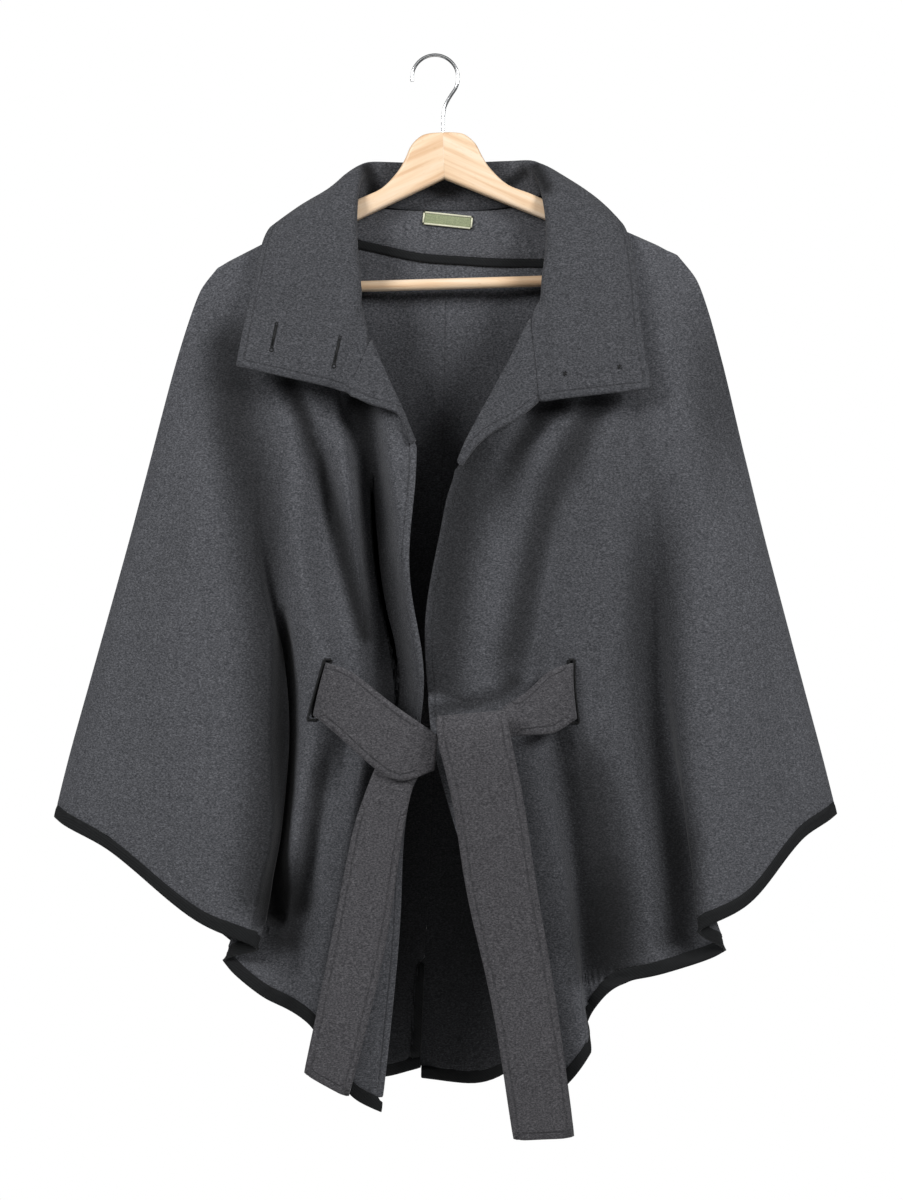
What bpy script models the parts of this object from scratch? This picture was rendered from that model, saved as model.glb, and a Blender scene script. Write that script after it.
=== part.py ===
"""A belted wool cape hung open on a wooden hanger, as solids at real size.

Millimetres are written out and turned to metres by MM. The origin is the inside
of the hanger hook's crown, +Z is up and -Y is the side that faces the viewer.
"Right" and "left" are the wearer's, so the right front lies at negative X.
"""

import math
from collections import namedtuple

import bmesh
import bpy
from mathutils import Vector

MM = 0.001

# Cloth and seams
CLOTH = 2.2
DOUBLE_CLOTH = 3.6
TAPE = 3.0
VENT_TAPE = 2.6
SEAM_GAP = 0.3
SIDE_GAP = 0.8
SHOULDER_SIDE_GAP = 1.8
SHOULDER_GAP = 1.15
TAPE_GAP = 1.5
HEM_TAPE_HEIGHT = 11.0
VENT_TAPE_WIDTH = 9.0

# Hanger: the wire hook, its bend in degrees and the points of its neck
HOOK_WIRE_R = 1.9
HOOK_BEND_R = 23.0
HOOK_TIP, HOOK_NECK_START, HOOK_STEP = 188, -40, 12
HOOK_NECK = ((14, -41.5), (10.2, -49), (8.4, -57), (8, -64))

# Hanger: the two arms and the bar
HEAD_X = 8.0
HEAD_Z = -76.0
HANGER_TILT = math.radians(1.7)
HANGER_HALF_THICK = 6.5
ARM_REACH = 213.0
ARM_SLOPE = 0.475
ARM_DEPTH = 26.0
ARM_RIM = 3.0
ARM_TIP_ROUND = 8.0
ARM_LOW_MIDDLE = 46.0
ARM_LOW_SLOPE = 0.44
BAR_R = 5.5
BAR_DROP = 151.0
BAR_SEAT = 186.0
LOBE_BOTTOM = 165.0
LOBE_ROUND = 8.0
LOBE_NOTCH = 14.0
ROUND_SIDES = 20

# How the cloth lies over the arms and falls away past their ends
SHOULDER_LIFT = 3.1
SHOULDER_HALF_WIDTH = 10.5
SHOULDER_ARCH_DROP = 9.0
SHOULDER_END = 196.0
SHOULDER_END_RUN = 34.0
SHOULDER_END_FALL = 24.0
ARM_CLEAR_BELOW = 14.0
ARM_CLEAR_END = 3.0
NECK_EASE = 0.08

# Heights at which every fold line is given
CHEST_Z = -455.0
WAIST_Z = -645.0

# The upper edge of half the hanger: distance from its middle, drop below its top
HANGER_TOP = (
    (0, 0), (12, -0.4), (22, -3), (32, -12), (39, -26), (47, -38.5), (63, -54), (84, -63), (99, -70),
)

# One row for each fold line, crest or trough, from the front edge out to the side.
# top is a point on the neck edge, or only an x where the line starts on the shoulder.
Fold = namedtuple(
    "Fold",
    "name top x_chest y_chest x_waist y_waist x_skirt y_skirt x_hem y_hem z_hem",
)

RIGHT_FRONT = (
    Fold("front_edge", (-16, -42, -393), -13, -46, -6, -42, -30, -46, -52, -45, -1045),
    Fold("edge_crest", (-36, -42, -352), -47, -51, -15, -46, -51, -50, -81, -52, -1028),
    Fold("deep_trough", (-58, -38, -316), -61, -9, -31, -14, -72, -32, -102, -40, -998),
    Fold("inner_crest", (-76, -30, -270), -79, -42, -60, -41, -89, -44, -120, -47, -961),
    Fold("inner_trough", (-86, -18, -206), -108, -25, -80, -32, -113, -32, -141, -38, -947),
    Fold("slit_crest", (-105, -11, -168), -140, -43, -108, -47, -136, -45, -169, -46, -931),
    Fold("under_turn", -127, -173, -28, -144, -18, -160, -20, -209, -32, -898),
    Fold("wing_edge", -145, -187, -37, -142, -52, -139, -63, -168, -72, -881),
    Fold("wing_crest", -167, -228, -45, -219, -56, -223, -60, -231, -60, -857),
    Fold("wing_trough", -189, -263, -27, -309, -32, -319, -34, -318, -36, -790),
    Fold("outer_crest", -205, -287, -14, -336, -17, -353, -18, -365, -18, -768),
    Fold("side_seam", -217, -297, 0, -350, 0, -366, 0, -380, 0, -760),
)

LEFT_FRONT = (
    Fold("front_edge", (15, -42, -416), 12, -45, -2, -33, 51, -38, 97, -40, -1037),
    Fold("edge_trough", (48, -42, -372), 63, -22, 48, -30, 88, -44, 117, -52, -1028),
    Fold("inner_crest", (77, -40, -328), 112, -44, 92, -44, 124, -52, 152, -56, -984),
    Fold("low_turn", (100, -34, -284), 139, -37, 117, -36, 137, -30, 149, -30, -962),
    Fold("slit_crest", (115, -20, -212), 167, -44, 141, -46, 155, -42, 176, -42, -924),
    Fold("broad_crest", (133, -11, -162), 186, -41, 180, -44, 197, -45, 223, -48, -909),
    Fold("under_turn", 154, 212, -28, 227, -20, 253, -24, 287, -34, -888),
    Fold("wing_edge", 173, 229, -38, 239, -50, 246, -60, 255, -68, -865),
    Fold("wing_crest", 194, 264, -42, 288, -50, 297, -52, 307, -52, -841),
    Fold("wing_trough", 215, 294, -26, 337, -29, 349, -30, 360, -31, -780),
    Fold("outer_crest", 230, 313, -14, 361, -16, 377, -16, 389, -16, -763),
    Fold("side_seam", 242, 322, 0, 372, 0, 387, 0, 401, 0, -757),
)

# The two halves of the back, from the side seam in to the centre seam
RIGHT_BACK = (
    Fold("side_seam", -217, -297, 0, -350, 0, -366, 0, -380, 0, -760),
    Fold("outer_crest", -205, -289, 15, -340, 19, -357, 21, -369, 23, -770),
    Fold("wing_crest", -183, -255, 37, -298, 46, -310, 50, -321, 52, -806),
    Fold("wing_trough", -155, -203, 27, -234, 26, -245, 25, -255, 26, -850),
    Fold("blade_crest", -117, -156, 40, -177, 49, -185, 54, -192, 58, -908),
    Fold("blade_trough", (-79, 10.5, -148), -101, 26, -114, 26, -119, 28, -123, 30, -966),
    Fold("centre_crest", (-39, 13, -151), -52, 35, -60, 41, -65, 45, -70, 48, -1030),
    Fold("centre_seam", (12, 14, -152), 7, 27, 0, 29, -7, 31, -15, 32, -1018),
)

LEFT_BACK = (
    Fold("side_seam", 242, 322, 0, 372, 0, 387, 0, 401, 0, -757),
    Fold("outer_crest", 230, 314, 14, 363, 19, 380, 21, 393, 23, -767),
    Fold("wing_crest", 207, 277, 37, 321, 48, 336, 54, 347, 56, -800),
    Fold("wing_trough", 177, 225, 24, 257, 24, 268, 24, 277, 26, -856),
    Fold("blade_crest", 143, 176, 38, 195, 46, 201, 52, 210, 55, -910),
    Fold("blade_trough", (105, 10.5, -145), 120, 27, 128, 28, 135, 30, 141, 31, -962),
    Fold("centre_crest", (63, 13, -151), 64, 34, 62, 39, 60, 42, 58, 44, -1034),
    Fold("centre_seam", (12, 14, -152), 7, 27, 0, 29, -7, 31, -15, 32, -1028),
)

# Rows of every panel, as a level: 0 top, 1 past the shoulder, 2 chest, 3 waist,
# 4 skirt and 5 hem. The belt slit runs between two of them.
SLIT_TOP, SLIT_BOTTOM = 2.81, 3.17
FRONT_LEVELS = (
    0, 0.03, 0.35, 0.7, 1, 1.35, 1.7, 2, 2.35, 2.62, SLIT_TOP, SLIT_BOTTOM, 3.45, 4, 4.5,
)
VENT_TOP = 4.42
VENT_TAPE_TOP = 4.424
BACK_LEVELS = (0, 0.03, 0.35, 0.7, 1, 1.4, 2, 2.5, 3, 3.5, 4, VENT_TOP, 4.75)
FRONT_COLUMNS_A_FOLD = 3
BACK_COLUMNS_A_FOLD = 3

# The belt slits, in fold lines: which line each is on, half its width and its lean
RIGHT_SLIT_FOLD, LEFT_SLIT_FOLD = 5, 4
SLIT_HALF_WIDTH = 0.1
SLIT_LEAN_RIGHT = -0.23
SLIT_LEAN_LEFT = -0.07
SLIT_LEAN_REACH = 1.0
SLIT_LEANS = {2.62: 0.5, SLIT_TOP: 1, SLIT_BOTTOM: -1, 3.45: -0.5}
SLIT_END_ROOM = 0.06

# One row for each section of the collar, from the right front end round the back.
# base is the neck seam, roll the fold and edge the outer edge.
CollarSection = namedtuple("CollarSection", "name base roll edge puff")
COLLAR = (
    CollarSection("right_end", (-87, -53, -339), (-103, -55, -336), (-194, -52, -315), 3),
    CollarSection("right_seam", (-64, -46, -286), (-83, -50, -285), (-188, -48, -282), 4),
    CollarSection("right_low", (-79, -36, -248), (-70, -41, -238), (-184, -42, -261), 6),
    CollarSection("right_front", (-85, -26, -214), (-73, -32, -203), (-178, -34, -231), 8),
    CollarSection("right_turn", (-88, -14, -178), (-75, -21, -164), (-171, -21, -191), 8),
    CollarSection("right_slope", (-87, -10, -147), (-73, -10, -127), (-163, -9, -172), 6),
    CollarSection("right_shoulder", (-84, 2, -138), (-67, 1, -106), (-157, 8, -170), 4),
    CollarSection("right_nape", (-71, 14, -143.5), (-54, 18, -99), (-125, 28, -175), 5),
    CollarSection("right_back", (-35, 16, -150.2), (-25, 22, -98), (-60, 33, -181), 4),
    CollarSection("centre", (12, 16.5, -151.2), (12, 23, -98), (12, 34, -183), 3),
    CollarSection("left_back", (59, 16, -150.2), (51, 22, -97), (86, 33, -181), 4),
    CollarSection("left_nape", (97, 14, -141), (80, 18, -98), (153, 28, -172), 6),
    CollarSection("left_shoulder", (111, 2, -136), (95, 1, -104), (181, 8, -163), 9),
    CollarSection("left_slope", (115, -10, -145), (102, -10, -125), (188, -9, -172), 8),
    CollarSection("left_turn", (117, -14, -178), (109, -21, -164), (194, -21, -193), 9),
    CollarSection("left_front", (116, -26, -212), (107, -32, -200), (199, -34, -230), 8),
    CollarSection("left_low", (110, -36, -242), (103, -40, -233), (201, -42, -261), 6),
    CollarSection("left_seam", (95, -44, -264), (113, -48, -265), (204, -47, -291), 4),
    CollarSection("left_fall", (99, -49, -306), (115, -52, -306), (208, -50, -314), 4),
    CollarSection("left_end", (103, -53, -350), (119, -55, -348), (212, -52, -337), 3),
)
COLLAR_ROWS_A_SECTION = 2
COLLAR_ACROSS = 10
STAND_MIDDLE = 0.55
ROLL_TURN = 5.0
ROLL_ROOM = 3.6

# Down the collar's fall: share of its depth, and share of the section's puff
FALL_PROFILE = ((0.3, 0.8), (0.62, 1.0), (0.86, 0.6))

# The turned-out top of each front edge: points on the roll, and on the edge itself
TurnRow = namedtuple("TurnRow", "name roll edge")
RIGHT_TURN = (
    TurnRow("seam", (-61.6, -47, -287.4), (-84.4, -54, -340)),
    TurnRow("upper", (-51, -47, -313), (-63, -54, -353)),
    TurnRow("lower", (-37, -47, -345), (-34, -52, -361)),
    TurnRow("break", (-20, -47, -383), (-24, -50, -384)),
)
LEFT_TURN = (
    TurnRow("seam", (93, -46, -265.4), (101, -54, -351.3)),
    TurnRow("upper", (77, -47, -300), (80, -54, -367)),
    TurnRow("lower", (55, -47, -341), (51, -52, -383)),
    TurnRow("break", (21, -47, -404), (25, -50, -409)),
)

TURN_ROWS_A_ROW = 2
TURN_ACROSS = 3

# The belt, a flat doubled band: points on its upper and lower long edges
BeltRow = namedtuple("BeltRow", "name upper lower")
BELT_RIGHT_FRONT = (
    BeltRow("rise", (-82, -62, -620), (-94, -62, -681)),
    BeltRow("middle", (-49, -67, -641), (-62, -68, -703)),
    BeltRow("round", (-14, -71, -662), (-26, -71, -721)),
    BeltRow("tuck", (11, -71, -678), (9, -70, -710)),
)
BELT_LEFT_FRONT = (
    BeltRow("rise", (116, -59, -620), (122, -59, -677)),
    BeltRow("middle", (97, -61, -633), (104, -61, -677)),
    BeltRow("knot", (69, -62, -649), (73, -62, -678)),
)
BELT_RIGHT_END = (
    BeltRow("start", (-54, -64.5, -708), (-1, -66.5, -708)),
    BeltRow("emerge", (-64, -64, -732), (-12, -65.5, -725)),
    BeltRow("upper", (-77, -63, -766), (-18, -64, -758)),
    BeltRow("middle", (-97, -64, -857), (-38, -64, -841)),
    BeltRow("low", (-112, -66, -933), (-56, -66, -918)),
    BeltRow("end", (-127, -68, -1002), (-83, -68, -1026)),
)
BELT_LEFT_END = (
    BeltRow("behind", (13, -74.5, -695), (77, -74.5, -689)),
    BeltRow("over", (8, -79, -659), (71, -79, -651)),
    BeltRow("front", (9, -86, -673), (75, -86, -667)),
    BeltRow("upper", (25, -85, -736), (88, -85, -734)),
    BeltRow("middle", (40, -80, -835), (103, -80, -835)),
    BeltRow("low", (56, -75, -926), (117, -75, -925)),
    BeltRow("end", (76, -72, -1066), (136, -72, -1063)),
)
BELT_BACK = (
    BeltRow("right_side", (-98, -14, -610), (-110, -14, -667)),
    BeltRow("right_turn", (-81, 2, -610), (-87, 2, -671)),
    BeltRow("right_back", (-43, 9, -611), (-45, 9, -675)),
    BeltRow("centre", (17, 11, -612), (17, 11, -676)),
    BeltRow("left_back", (77, 9, -611), (79, 9, -675)),
    BeltRow("left_turn", (115, 2, -610), (119, 2, -671)),
    BeltRow("left_side", (133, -14, -610), (139, -14, -667)),
)

BELT_ACROSS = 4
BELT_CROWN = 1.5
BELT_CROWN_SHARES = (0, 0.7, 1, 0.7, 0)
BELT_INSIDE, BELT_OUTSIDE = -12.0, 6.0
BELT_ROWS_A_ROW = 2
LEFT_END_ROWS_A_ROW = 3
BELT_BACK_GAP = 1.5

# Back neck facing: how far down it reaches at the right, the middle and the left
FACING_DROPS = ((-72, -188), (-20, -201), (50, -207), (96, -209))
FACING_TAPE_HEIGHT = 8.0
FACING_OFF = 2.4
FACING_TOP_ROOM = 1.0
FACING_THICK = 1.4
FACING_TAPE_THICK = 1.9
FACING_COLUMNS_A_FOLD = 4
FACING_FOLDS = 2
LABEL_SIZE = (50.0, 13.0)
LABEL_THICK = 0.8
LABEL_OFF = 0.9
LABEL_AT = (12.6, -161.5)
LABEL_TURN = math.radians(-6)

BUTTON_R = 10.0
BUTTON_THICK = 3.5
BUTTON_LEAN = math.radians(86)
BUTTONS = (("button_1", (127, -50.2, -323)), ("button_2", (180, -49.4, -316)))

COLOURS = {
    "wool": (0.060, 0.063, 0.068, 1),
    "belt_wool": (0.070, 0.067, 0.068, 1),
    "tape": (0.012, 0.016, 0.017, 1),
    "wood": (0.72, 0.50, 0.30, 1),
    "chrome": (0.75, 0.76, 0.78, 1),
    "label": (0.30, 0.33, 0.20, 1),
    "horn": (0.030, 0.026, 0.024, 1),
}


def clear_scene():
    for old in list(bpy.data.objects):
        bpy.data.objects.remove(old, do_unlink=True)


def material(name):
    found = bpy.data.materials.get(name)
    if found:
        return found
    made = bpy.data.materials.new(name)
    made.use_nodes = True
    shader = made.node_tree.nodes["Principled BSDF"]
    shader.inputs["Base Color"].default_value = COLOURS[name]
    shader.inputs["Roughness"].default_value = 0.15 if name == "chrome" else 0.85
    shader.inputs["Metallic"].default_value = 1.0 if name == "chrome" else 0.0
    return made


def curve_point(points, at):
    """A point on the centripetal Catmull-Rom curve through points; at is index plus fraction."""
    last = len(points) - 1
    span = min(int(at), last - 1)
    part = at - span
    p1, p2 = Vector(points[span]), Vector(points[span + 1])
    p0 = Vector(points[span - 1]) if span > 0 else 2 * p1 - p2
    p3 = Vector(points[span + 2]) if span + 2 <= last else 2 * p2 - p1
    knots = [0.0]
    for a, b in ((p0, p1), (p1, p2), (p2, p3)):
        knots.append(knots[-1] + max((b - a).length, 1e-6) ** 0.5)
    k0, k1, k2, k3 = knots
    t = k1 + part * (k2 - k1)
    a1 = p0.lerp(p1, (t - k0) / (k1 - k0))
    a2 = p1.lerp(p2, (t - k1) / (k2 - k1))
    a3 = p2.lerp(p3, (t - k2) / (k3 - k2))
    b1 = a1.lerp(a2, (t - k0) / (k2 - k0))
    b2 = a2.lerp(a3, (t - k1) / (k3 - k1))
    return b1.lerp(b2, (t - k1) / (k2 - k1))


def add_object(name, mesh_or_curve, look):
    made = bpy.data.objects.new(name, mesh_or_curve)
    made.data.materials.append(material(look))
    bpy.data.collections["belted cape"].objects.link(made)
    return made


def grid_sheet(name, rows, look, thick, holes=()):
    """A wall of cloth through rows of points. holes are (row, column) faces left out."""
    across, down = len(rows[0]), len(rows)
    mesh = bpy.data.meshes.new(name)
    sheet = bmesh.new()
    bmesh.ops.create_grid(sheet, x_segments=across - 1, y_segments=down - 1, size=1)
    sheet.verts.ensure_lookup_table()
    for row in range(down):
        for column in range(across):
            sheet.verts[row * across + column].co = rows[row][column] * MM
    sheet.faces.ensure_lookup_table()
    gone = [sheet.faces[row * (across - 1) + column] for row, column in holes]
    bmesh.ops.delete(sheet, geom=gone, context="FACES")
    for face in sheet.faces:
        face.smooth = True
    sheet.to_mesh(mesh)
    sheet.free()
    made = add_object(name, mesh, look)
    wall = made.modifiers.new("wall", "SOLIDIFY")
    wall.thickness = thick * MM
    wall.offset = 0
    wall.use_quality_normals = True
    return made


def hanger_drop(out):
    """How far the hanger's upper edge is below its middle, at a distance from the middle."""
    far_x, far_drop = HANGER_TOP[-1]
    drop = far_drop - (out - far_x) * ARM_SLOPE
    for (x0, d0), (x1, d1) in zip(HANGER_TOP, HANGER_TOP[1:]):
        if x0 <= out < x1:
            drop = d0 + (d1 - d0) * (out - x0) / (x1 - x0)
    return drop


def shoulder_height(x):
    """The cloth's height where it lies on the tilted hanger's sloping top."""
    out = abs(x - HEAD_X)
    shift = math.copysign(math.sin(HANGER_TILT), x - HEAD_X) * hanger_drop(out)
    rise = math.tan(HANGER_TILT) * (x - HEAD_X)
    return HEAD_Z + hanger_drop(out + shift) + rise + SHOULDER_LIFT


def fold_points(fold, side):
    """The six points of a fold line; side is -1 for a front and 1 for a back."""
    skirt_z = (WAIST_Z + fold.z_hem) / 2
    chest = Vector((fold.x_chest, fold.y_chest, CHEST_Z))
    if isinstance(fold.top, tuple):
        top = Vector(fold.top)
        below = top.lerp(chest, NECK_EASE)
    else:
        top = Vector((fold.top, 0, shoulder_height(fold.top)))
        past = (abs(fold.top - HEAD_X) - SHOULDER_END) / SHOULDER_END_RUN
        past = min(1, max(0, past))
        out = math.copysign(SHOULDER_END_FALL * past, fold.top)
        wide = side * SHOULDER_HALF_WIDTH * (1 - past)
        below = top + Vector((out, wide, -SHOULDER_ARCH_DROP - SHOULDER_END_FALL * past))
    points = [
        top,
        below,
        chest,
        Vector((fold.x_waist, fold.y_waist, WAIST_Z)),
        Vector((fold.x_skirt, fold.y_skirt, skirt_z)),
        Vector((fold.x_hem, fold.y_hem, fold.z_hem)),
    ]
    if not isinstance(fold.top, tuple):
        on_side = fold.name == "side_seam"
        for which, point in enumerate(points):
            near_top = SHOULDER_SIDE_GAP if which < 2 else SIDE_GAP
            point.y += side * (near_top if on_side else SHOULDER_GAP)
    return points


def clear_of_hanger(point, side):
    """Keeps a point of cloth beside or over the hanger's arm, as it hangs on it."""
    below = shoulder_height(point.x) - point.z
    beside = abs(point.x - HEAD_X) < ARM_REACH + ARM_CLEAR_END
    if beside and 0 < below < ARM_DEPTH + ARM_CLEAR_BELOW:
        rest = max(0, 1 - below / SHOULDER_ARCH_DROP)
        wide = SHOULDER_HALF_WIDTH * math.sqrt(1 - rest * rest)
        point.y = side * max(side * point.y, wide)
    return point


class Panel:
    """A panel of cloth given by its fold lines, with places asked for by fold and level."""

    def __init__(self, folds, side):
        self.lines = [fold_points(fold, side) for fold in folds]
        self.which = range(len(folds))
        self.side = side
        self.kept = {}

    def row(self, level, above_hem=0.0):
        """The points of all fold lines at a level, or a distance above the hem."""
        key = (level, above_hem)
        if key not in self.kept:
            self.kept[key] = [self.line_point(k, level, above_hem) for k in self.which]
        return self.kept[key]

    def line_point(self, which, level, above_hem):
        line = self.lines[which]
        if above_hem or level == 5:
            return curve_point(line, 5 - above_hem / (line[5] - line[4]).length)
        return curve_point(line, level)

    def place(self, across, level, above_hem=0.0):
        return clear_of_hanger(curve_point(self.row(level, above_hem), across), self.side)


def front_columns(slit_fold):
    """Column places for a front, with two close ones where the belt slit is."""
    columns = []
    last = len(RIGHT_FRONT) - 1
    for fold in range(last):
        for step in range(FRONT_COLUMNS_A_FOLD):
            columns.append(fold + step / FRONT_COLUMNS_A_FOLD)
    columns.append(last)
    columns.remove(slit_fold)
    return sorted(columns + [slit_fold - SLIT_HALF_WIDTH, slit_fold + SLIT_HALF_WIDTH])


def slit_shift(across, level, slit_fold, lean):
    """How far a grid point slides along its row so that the slit leans."""
    reach = 1 - min(1, abs(across - slit_fold) / SLIT_LEAN_REACH)
    return lean * SLIT_LEANS.get(level, 0) * reach


def make_front(name, folds, slit_fold, lean):
    """A front panel with its hem tape; returns the two ends of its belt slit."""
    panel = Panel(folds, -1)
    columns = front_columns(slit_fold)
    rows = []
    for level in FRONT_LEVELS:
        places = [c + slit_shift(c, level, slit_fold, lean) for c in columns]
        rows.append([panel.place(c, level) for c in places])
    rows.append([panel.place(c, 5, HEM_TAPE_HEIGHT + TAPE_GAP) for c in columns])
    slit_column = columns.index(slit_fold - SLIT_HALF_WIDTH)
    first = FRONT_LEVELS.index(SLIT_TOP)
    last = FRONT_LEVELS.index(SLIT_BOTTOM)
    holes = [(row, slit_column) for row in range(first, last)]
    grid_sheet(name, rows, "wool", CLOTH, holes)
    make_hem_tape(name + "_hem_tape", panel, columns)
    top = panel.place(slit_fold + lean, SLIT_TOP)
    bottom = panel.place(slit_fold - lean, SLIT_BOTTOM)
    return top.lerp(bottom, SLIT_END_ROOM), bottom.lerp(top, SLIT_END_ROOM)


def make_hem_tape(name, panel, columns):
    heights = (HEM_TAPE_HEIGHT, 0)
    rows = [[panel.place(c, 5, height) for c in columns] for height in heights]
    grid_sheet(name, rows, "tape", TAPE)


def back_columns(tape_share):
    last = len(RIGHT_BACK) - 1
    count = last * BACK_COLUMNS_A_FOLD
    columns = [step / BACK_COLUMNS_A_FOLD for step in range(count)]
    return columns + [last - tape_share, last]


def make_back(name, folds, has_vent_tape):
    panel = Panel(folds, 1)
    crest, seam = panel.lines[-2][5], panel.lines[-1][5]
    tape_share = VENT_TAPE_WIDTH / (crest - seam).length
    columns = back_columns(tape_share)
    trim = 1.5 * SEAM_GAP / (crest - seam).length
    columns[-1] -= trim
    levels = list(BACK_LEVELS)
    rows = [[panel.place(c, level) for c in columns] for level in levels]
    rows.append([panel.place(c, 5, HEM_TAPE_HEIGHT + TAPE_GAP) for c in columns])
    holes = []
    if has_vent_tape:
        vent_row = levels.index(VENT_TOP)
        holes = [(row, len(columns) - 2) for row in range(vent_row, len(rows) - 1)]
    grid_sheet(name, rows, "wool", CLOTH, holes)
    make_hem_tape(name + "_hem_tape", panel, columns)
    if has_vent_tape:
        make_vent_tape(panel, columns, trim)


def make_vent_tape(panel, columns, trim):
    """The bound edge of the centre vent, in the slot that the right back leaves for it."""
    across = (columns[-2] + trim / 2, (columns[-2] + columns[-1]) / 2, columns[-1])
    rows = [[panel.place(c, VENT_TAPE_TOP) for c in across]]
    rows.append([panel.place(c, BACK_LEVELS[-1]) for c in across])
    rows.append([panel.place(c, 5, HEM_TAPE_HEIGHT + TAPE_GAP) for c in across])
    grid_sheet("back_vent_tape", rows, "tape", VENT_TAPE)


def collar_line(which):
    """Points across the collar at one section: up the stand, over the roll, down the fall."""
    section = COLLAR[which]
    base, roll, edge = Vector(section.base), Vector(section.roll), Vector(section.edge)
    before = Vector(COLLAR[max(which - 1, 0)].roll)
    after = Vector(COLLAR[min(which + 1, len(COLLAR) - 1)].roll)
    fall, stand = edge - roll, roll - base
    lift = (after - before).cross(fall).normalized() * section.puff
    turn = min(ROLL_TURN, stand.length / 3)
    over = roll + fall.normalized() * turn + lift.normalized() * ROLL_ROOM
    line = [base, base.lerp(roll, STAND_MIDDLE), roll - stand.normalized() * turn, over]
    line += [roll + fall * down + lift * share for down, share in FALL_PROFILE]
    return line + [edge]


def make_collar():
    lines = [collar_line(which) for which in range(len(COLLAR))]
    count = (len(COLLAR) - 1) * COLLAR_ROWS_A_SECTION
    rows = []
    for step in range(count + 1):
        along = step / COLLAR_ROWS_A_SECTION
        line = [curve_point(strand, along) for strand in zip(*lines)]
        last = len(line) - 1
        places = [last * k / COLLAR_ACROSS for k in range(COLLAR_ACROSS + 1)]
        rows.append([curve_point(line, place) for place in places])
    grid_sheet("collar", rows, "wool", DOUBLE_CLOTH)


def make_turned_edge(name, table):
    rows = []
    for step in range((len(table) - 1) * TURN_ROWS_A_ROW + 1):
        along = step / TURN_ROWS_A_ROW
        roll = curve_point([row.roll for row in table], along)
        edge = curve_point([row.edge for row in table], along)
        rows.append([roll.lerp(edge, part / TURN_ACROSS) for part in range(TURN_ACROSS + 1)])
    grid_sheet(name, rows, "wool", DOUBLE_CLOTH)


def slit_rows(slit, depths):
    """Rows that carry the belt straight through a slit, by depth in front of it."""
    rows = []
    for depth in depths:
        off = Vector((0, -depth, 0))
        rows.append(BeltRow("slit", slit[0] + off, slit[1] + off))
    return rows


def make_belt_run(name, table, steps_a_row=BELT_ROWS_A_ROW, crown=BELT_CROWN):
    rows = []
    count = (len(table) - 1) * steps_a_row
    for step in range(count + 1):
        along = step / steps_a_row
        upper = curve_point([row.upper for row in table], along)
        lower = curve_point([row.lower for row in table], along)
        shape = []
        for part, share in enumerate(BELT_CROWN_SHARES):
            out = Vector((0, -crown * share, 0))
            shape.append(upper.lerp(lower, part / BELT_ACROSS) + out)
        rows.append(shape)
    grid_sheet(name, rows, "belt_wool", DOUBLE_CLOTH)


def level_at(panel, across, z):
    """The level between the top and the chest at which a column of a panel has height z."""
    low, high = 0.0, 2.0
    for _ in range(20):
        middle = (low + high) / 2
        if panel.place(across, middle).z > z:
            low = middle
        else:
            high = middle
    return low


def make_neck_facing():
    """The facing inside the back neck and its bound lower edge."""
    right, left = Panel(RIGHT_BACK, 1), Panel(LEFT_BACK, 1)
    last = len(RIGHT_BACK) - 1
    count = FACING_FOLDS * FACING_COLUMNS_A_FOLD
    inner = [last - FACING_FOLDS + step / FACING_COLUMNS_A_FOLD for step in range(1, count)]
    spots = [(right, c) for c in inner] + [(left, c) for c in reversed(inner)]
    off = Vector((0, -FACING_OFF, 0))
    cloth, tape = [], []
    for which, (panel, across) in enumerate(spots):
        share = which / (len(spots) - 1)
        drops = [(0, x, z) for x, z in FACING_DROPS]
        low = curve_point(drops, (len(drops) - 1) * share).z
        high = panel.place(across, 0).z - FACING_TOP_ROOM
        join = low + FACING_TAPE_HEIGHT
        heights = (high, (high + join) / 2, join + SEAM_GAP, join, low)
        line = [panel.place(across, level_at(panel, across, z)) + off for z in heights]
        cloth.append(line[:3])
        tape.append(line[3:])
    grid_sheet("neck_facing", cloth, "wool", FACING_THICK)
    grid_sheet("neck_facing_tape", tape, "tape", FACING_TAPE_THICK)
    make_label(right, last)



def make_label(panel, seam):
    """The bare woven label, flat against the facing at the centre back seam."""
    x, z = LABEL_AT
    surface = panel.place(seam, level_at(panel, seam, z)).y - FACING_OFF
    y = surface - FACING_THICK / 2 - LABEL_THICK / 2 - LABEL_OFF
    bpy.ops.mesh.primitive_cube_add(size=1, location=(x * MM, y * MM, z * MM))
    label = bpy.context.object
    label.name = label.data.name = "label"
    label.scale = (LABEL_SIZE[0] * MM, LABEL_THICK * MM, LABEL_SIZE[1] * MM)
    label.rotation_euler.y = -LABEL_TURN
    bpy.ops.object.transform_apply(location=False, rotation=False, scale=True)
    adopt(label, "label")


def adopt(made, look):
    """Moves an object that an operator made into the cape's collection."""
    for holder in list(made.users_collection):
        holder.objects.unlink(made)
    bpy.data.collections["belted cape"].objects.link(made)
    made.data.materials.append(material(look))


def make_buttons():
    for name, place in BUTTONS:
        bpy.ops.mesh.primitive_cylinder_add(
            vertices=ROUND_SIDES,
            radius=BUTTON_R * MM,
            depth=BUTTON_THICK * MM,
            location=Vector(place) * MM,
            rotation=(BUTTON_LEAN, 0, 0),
        )
        button = bpy.context.object
        button.name = button.data.name = name
        adopt(button, "horn")


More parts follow.
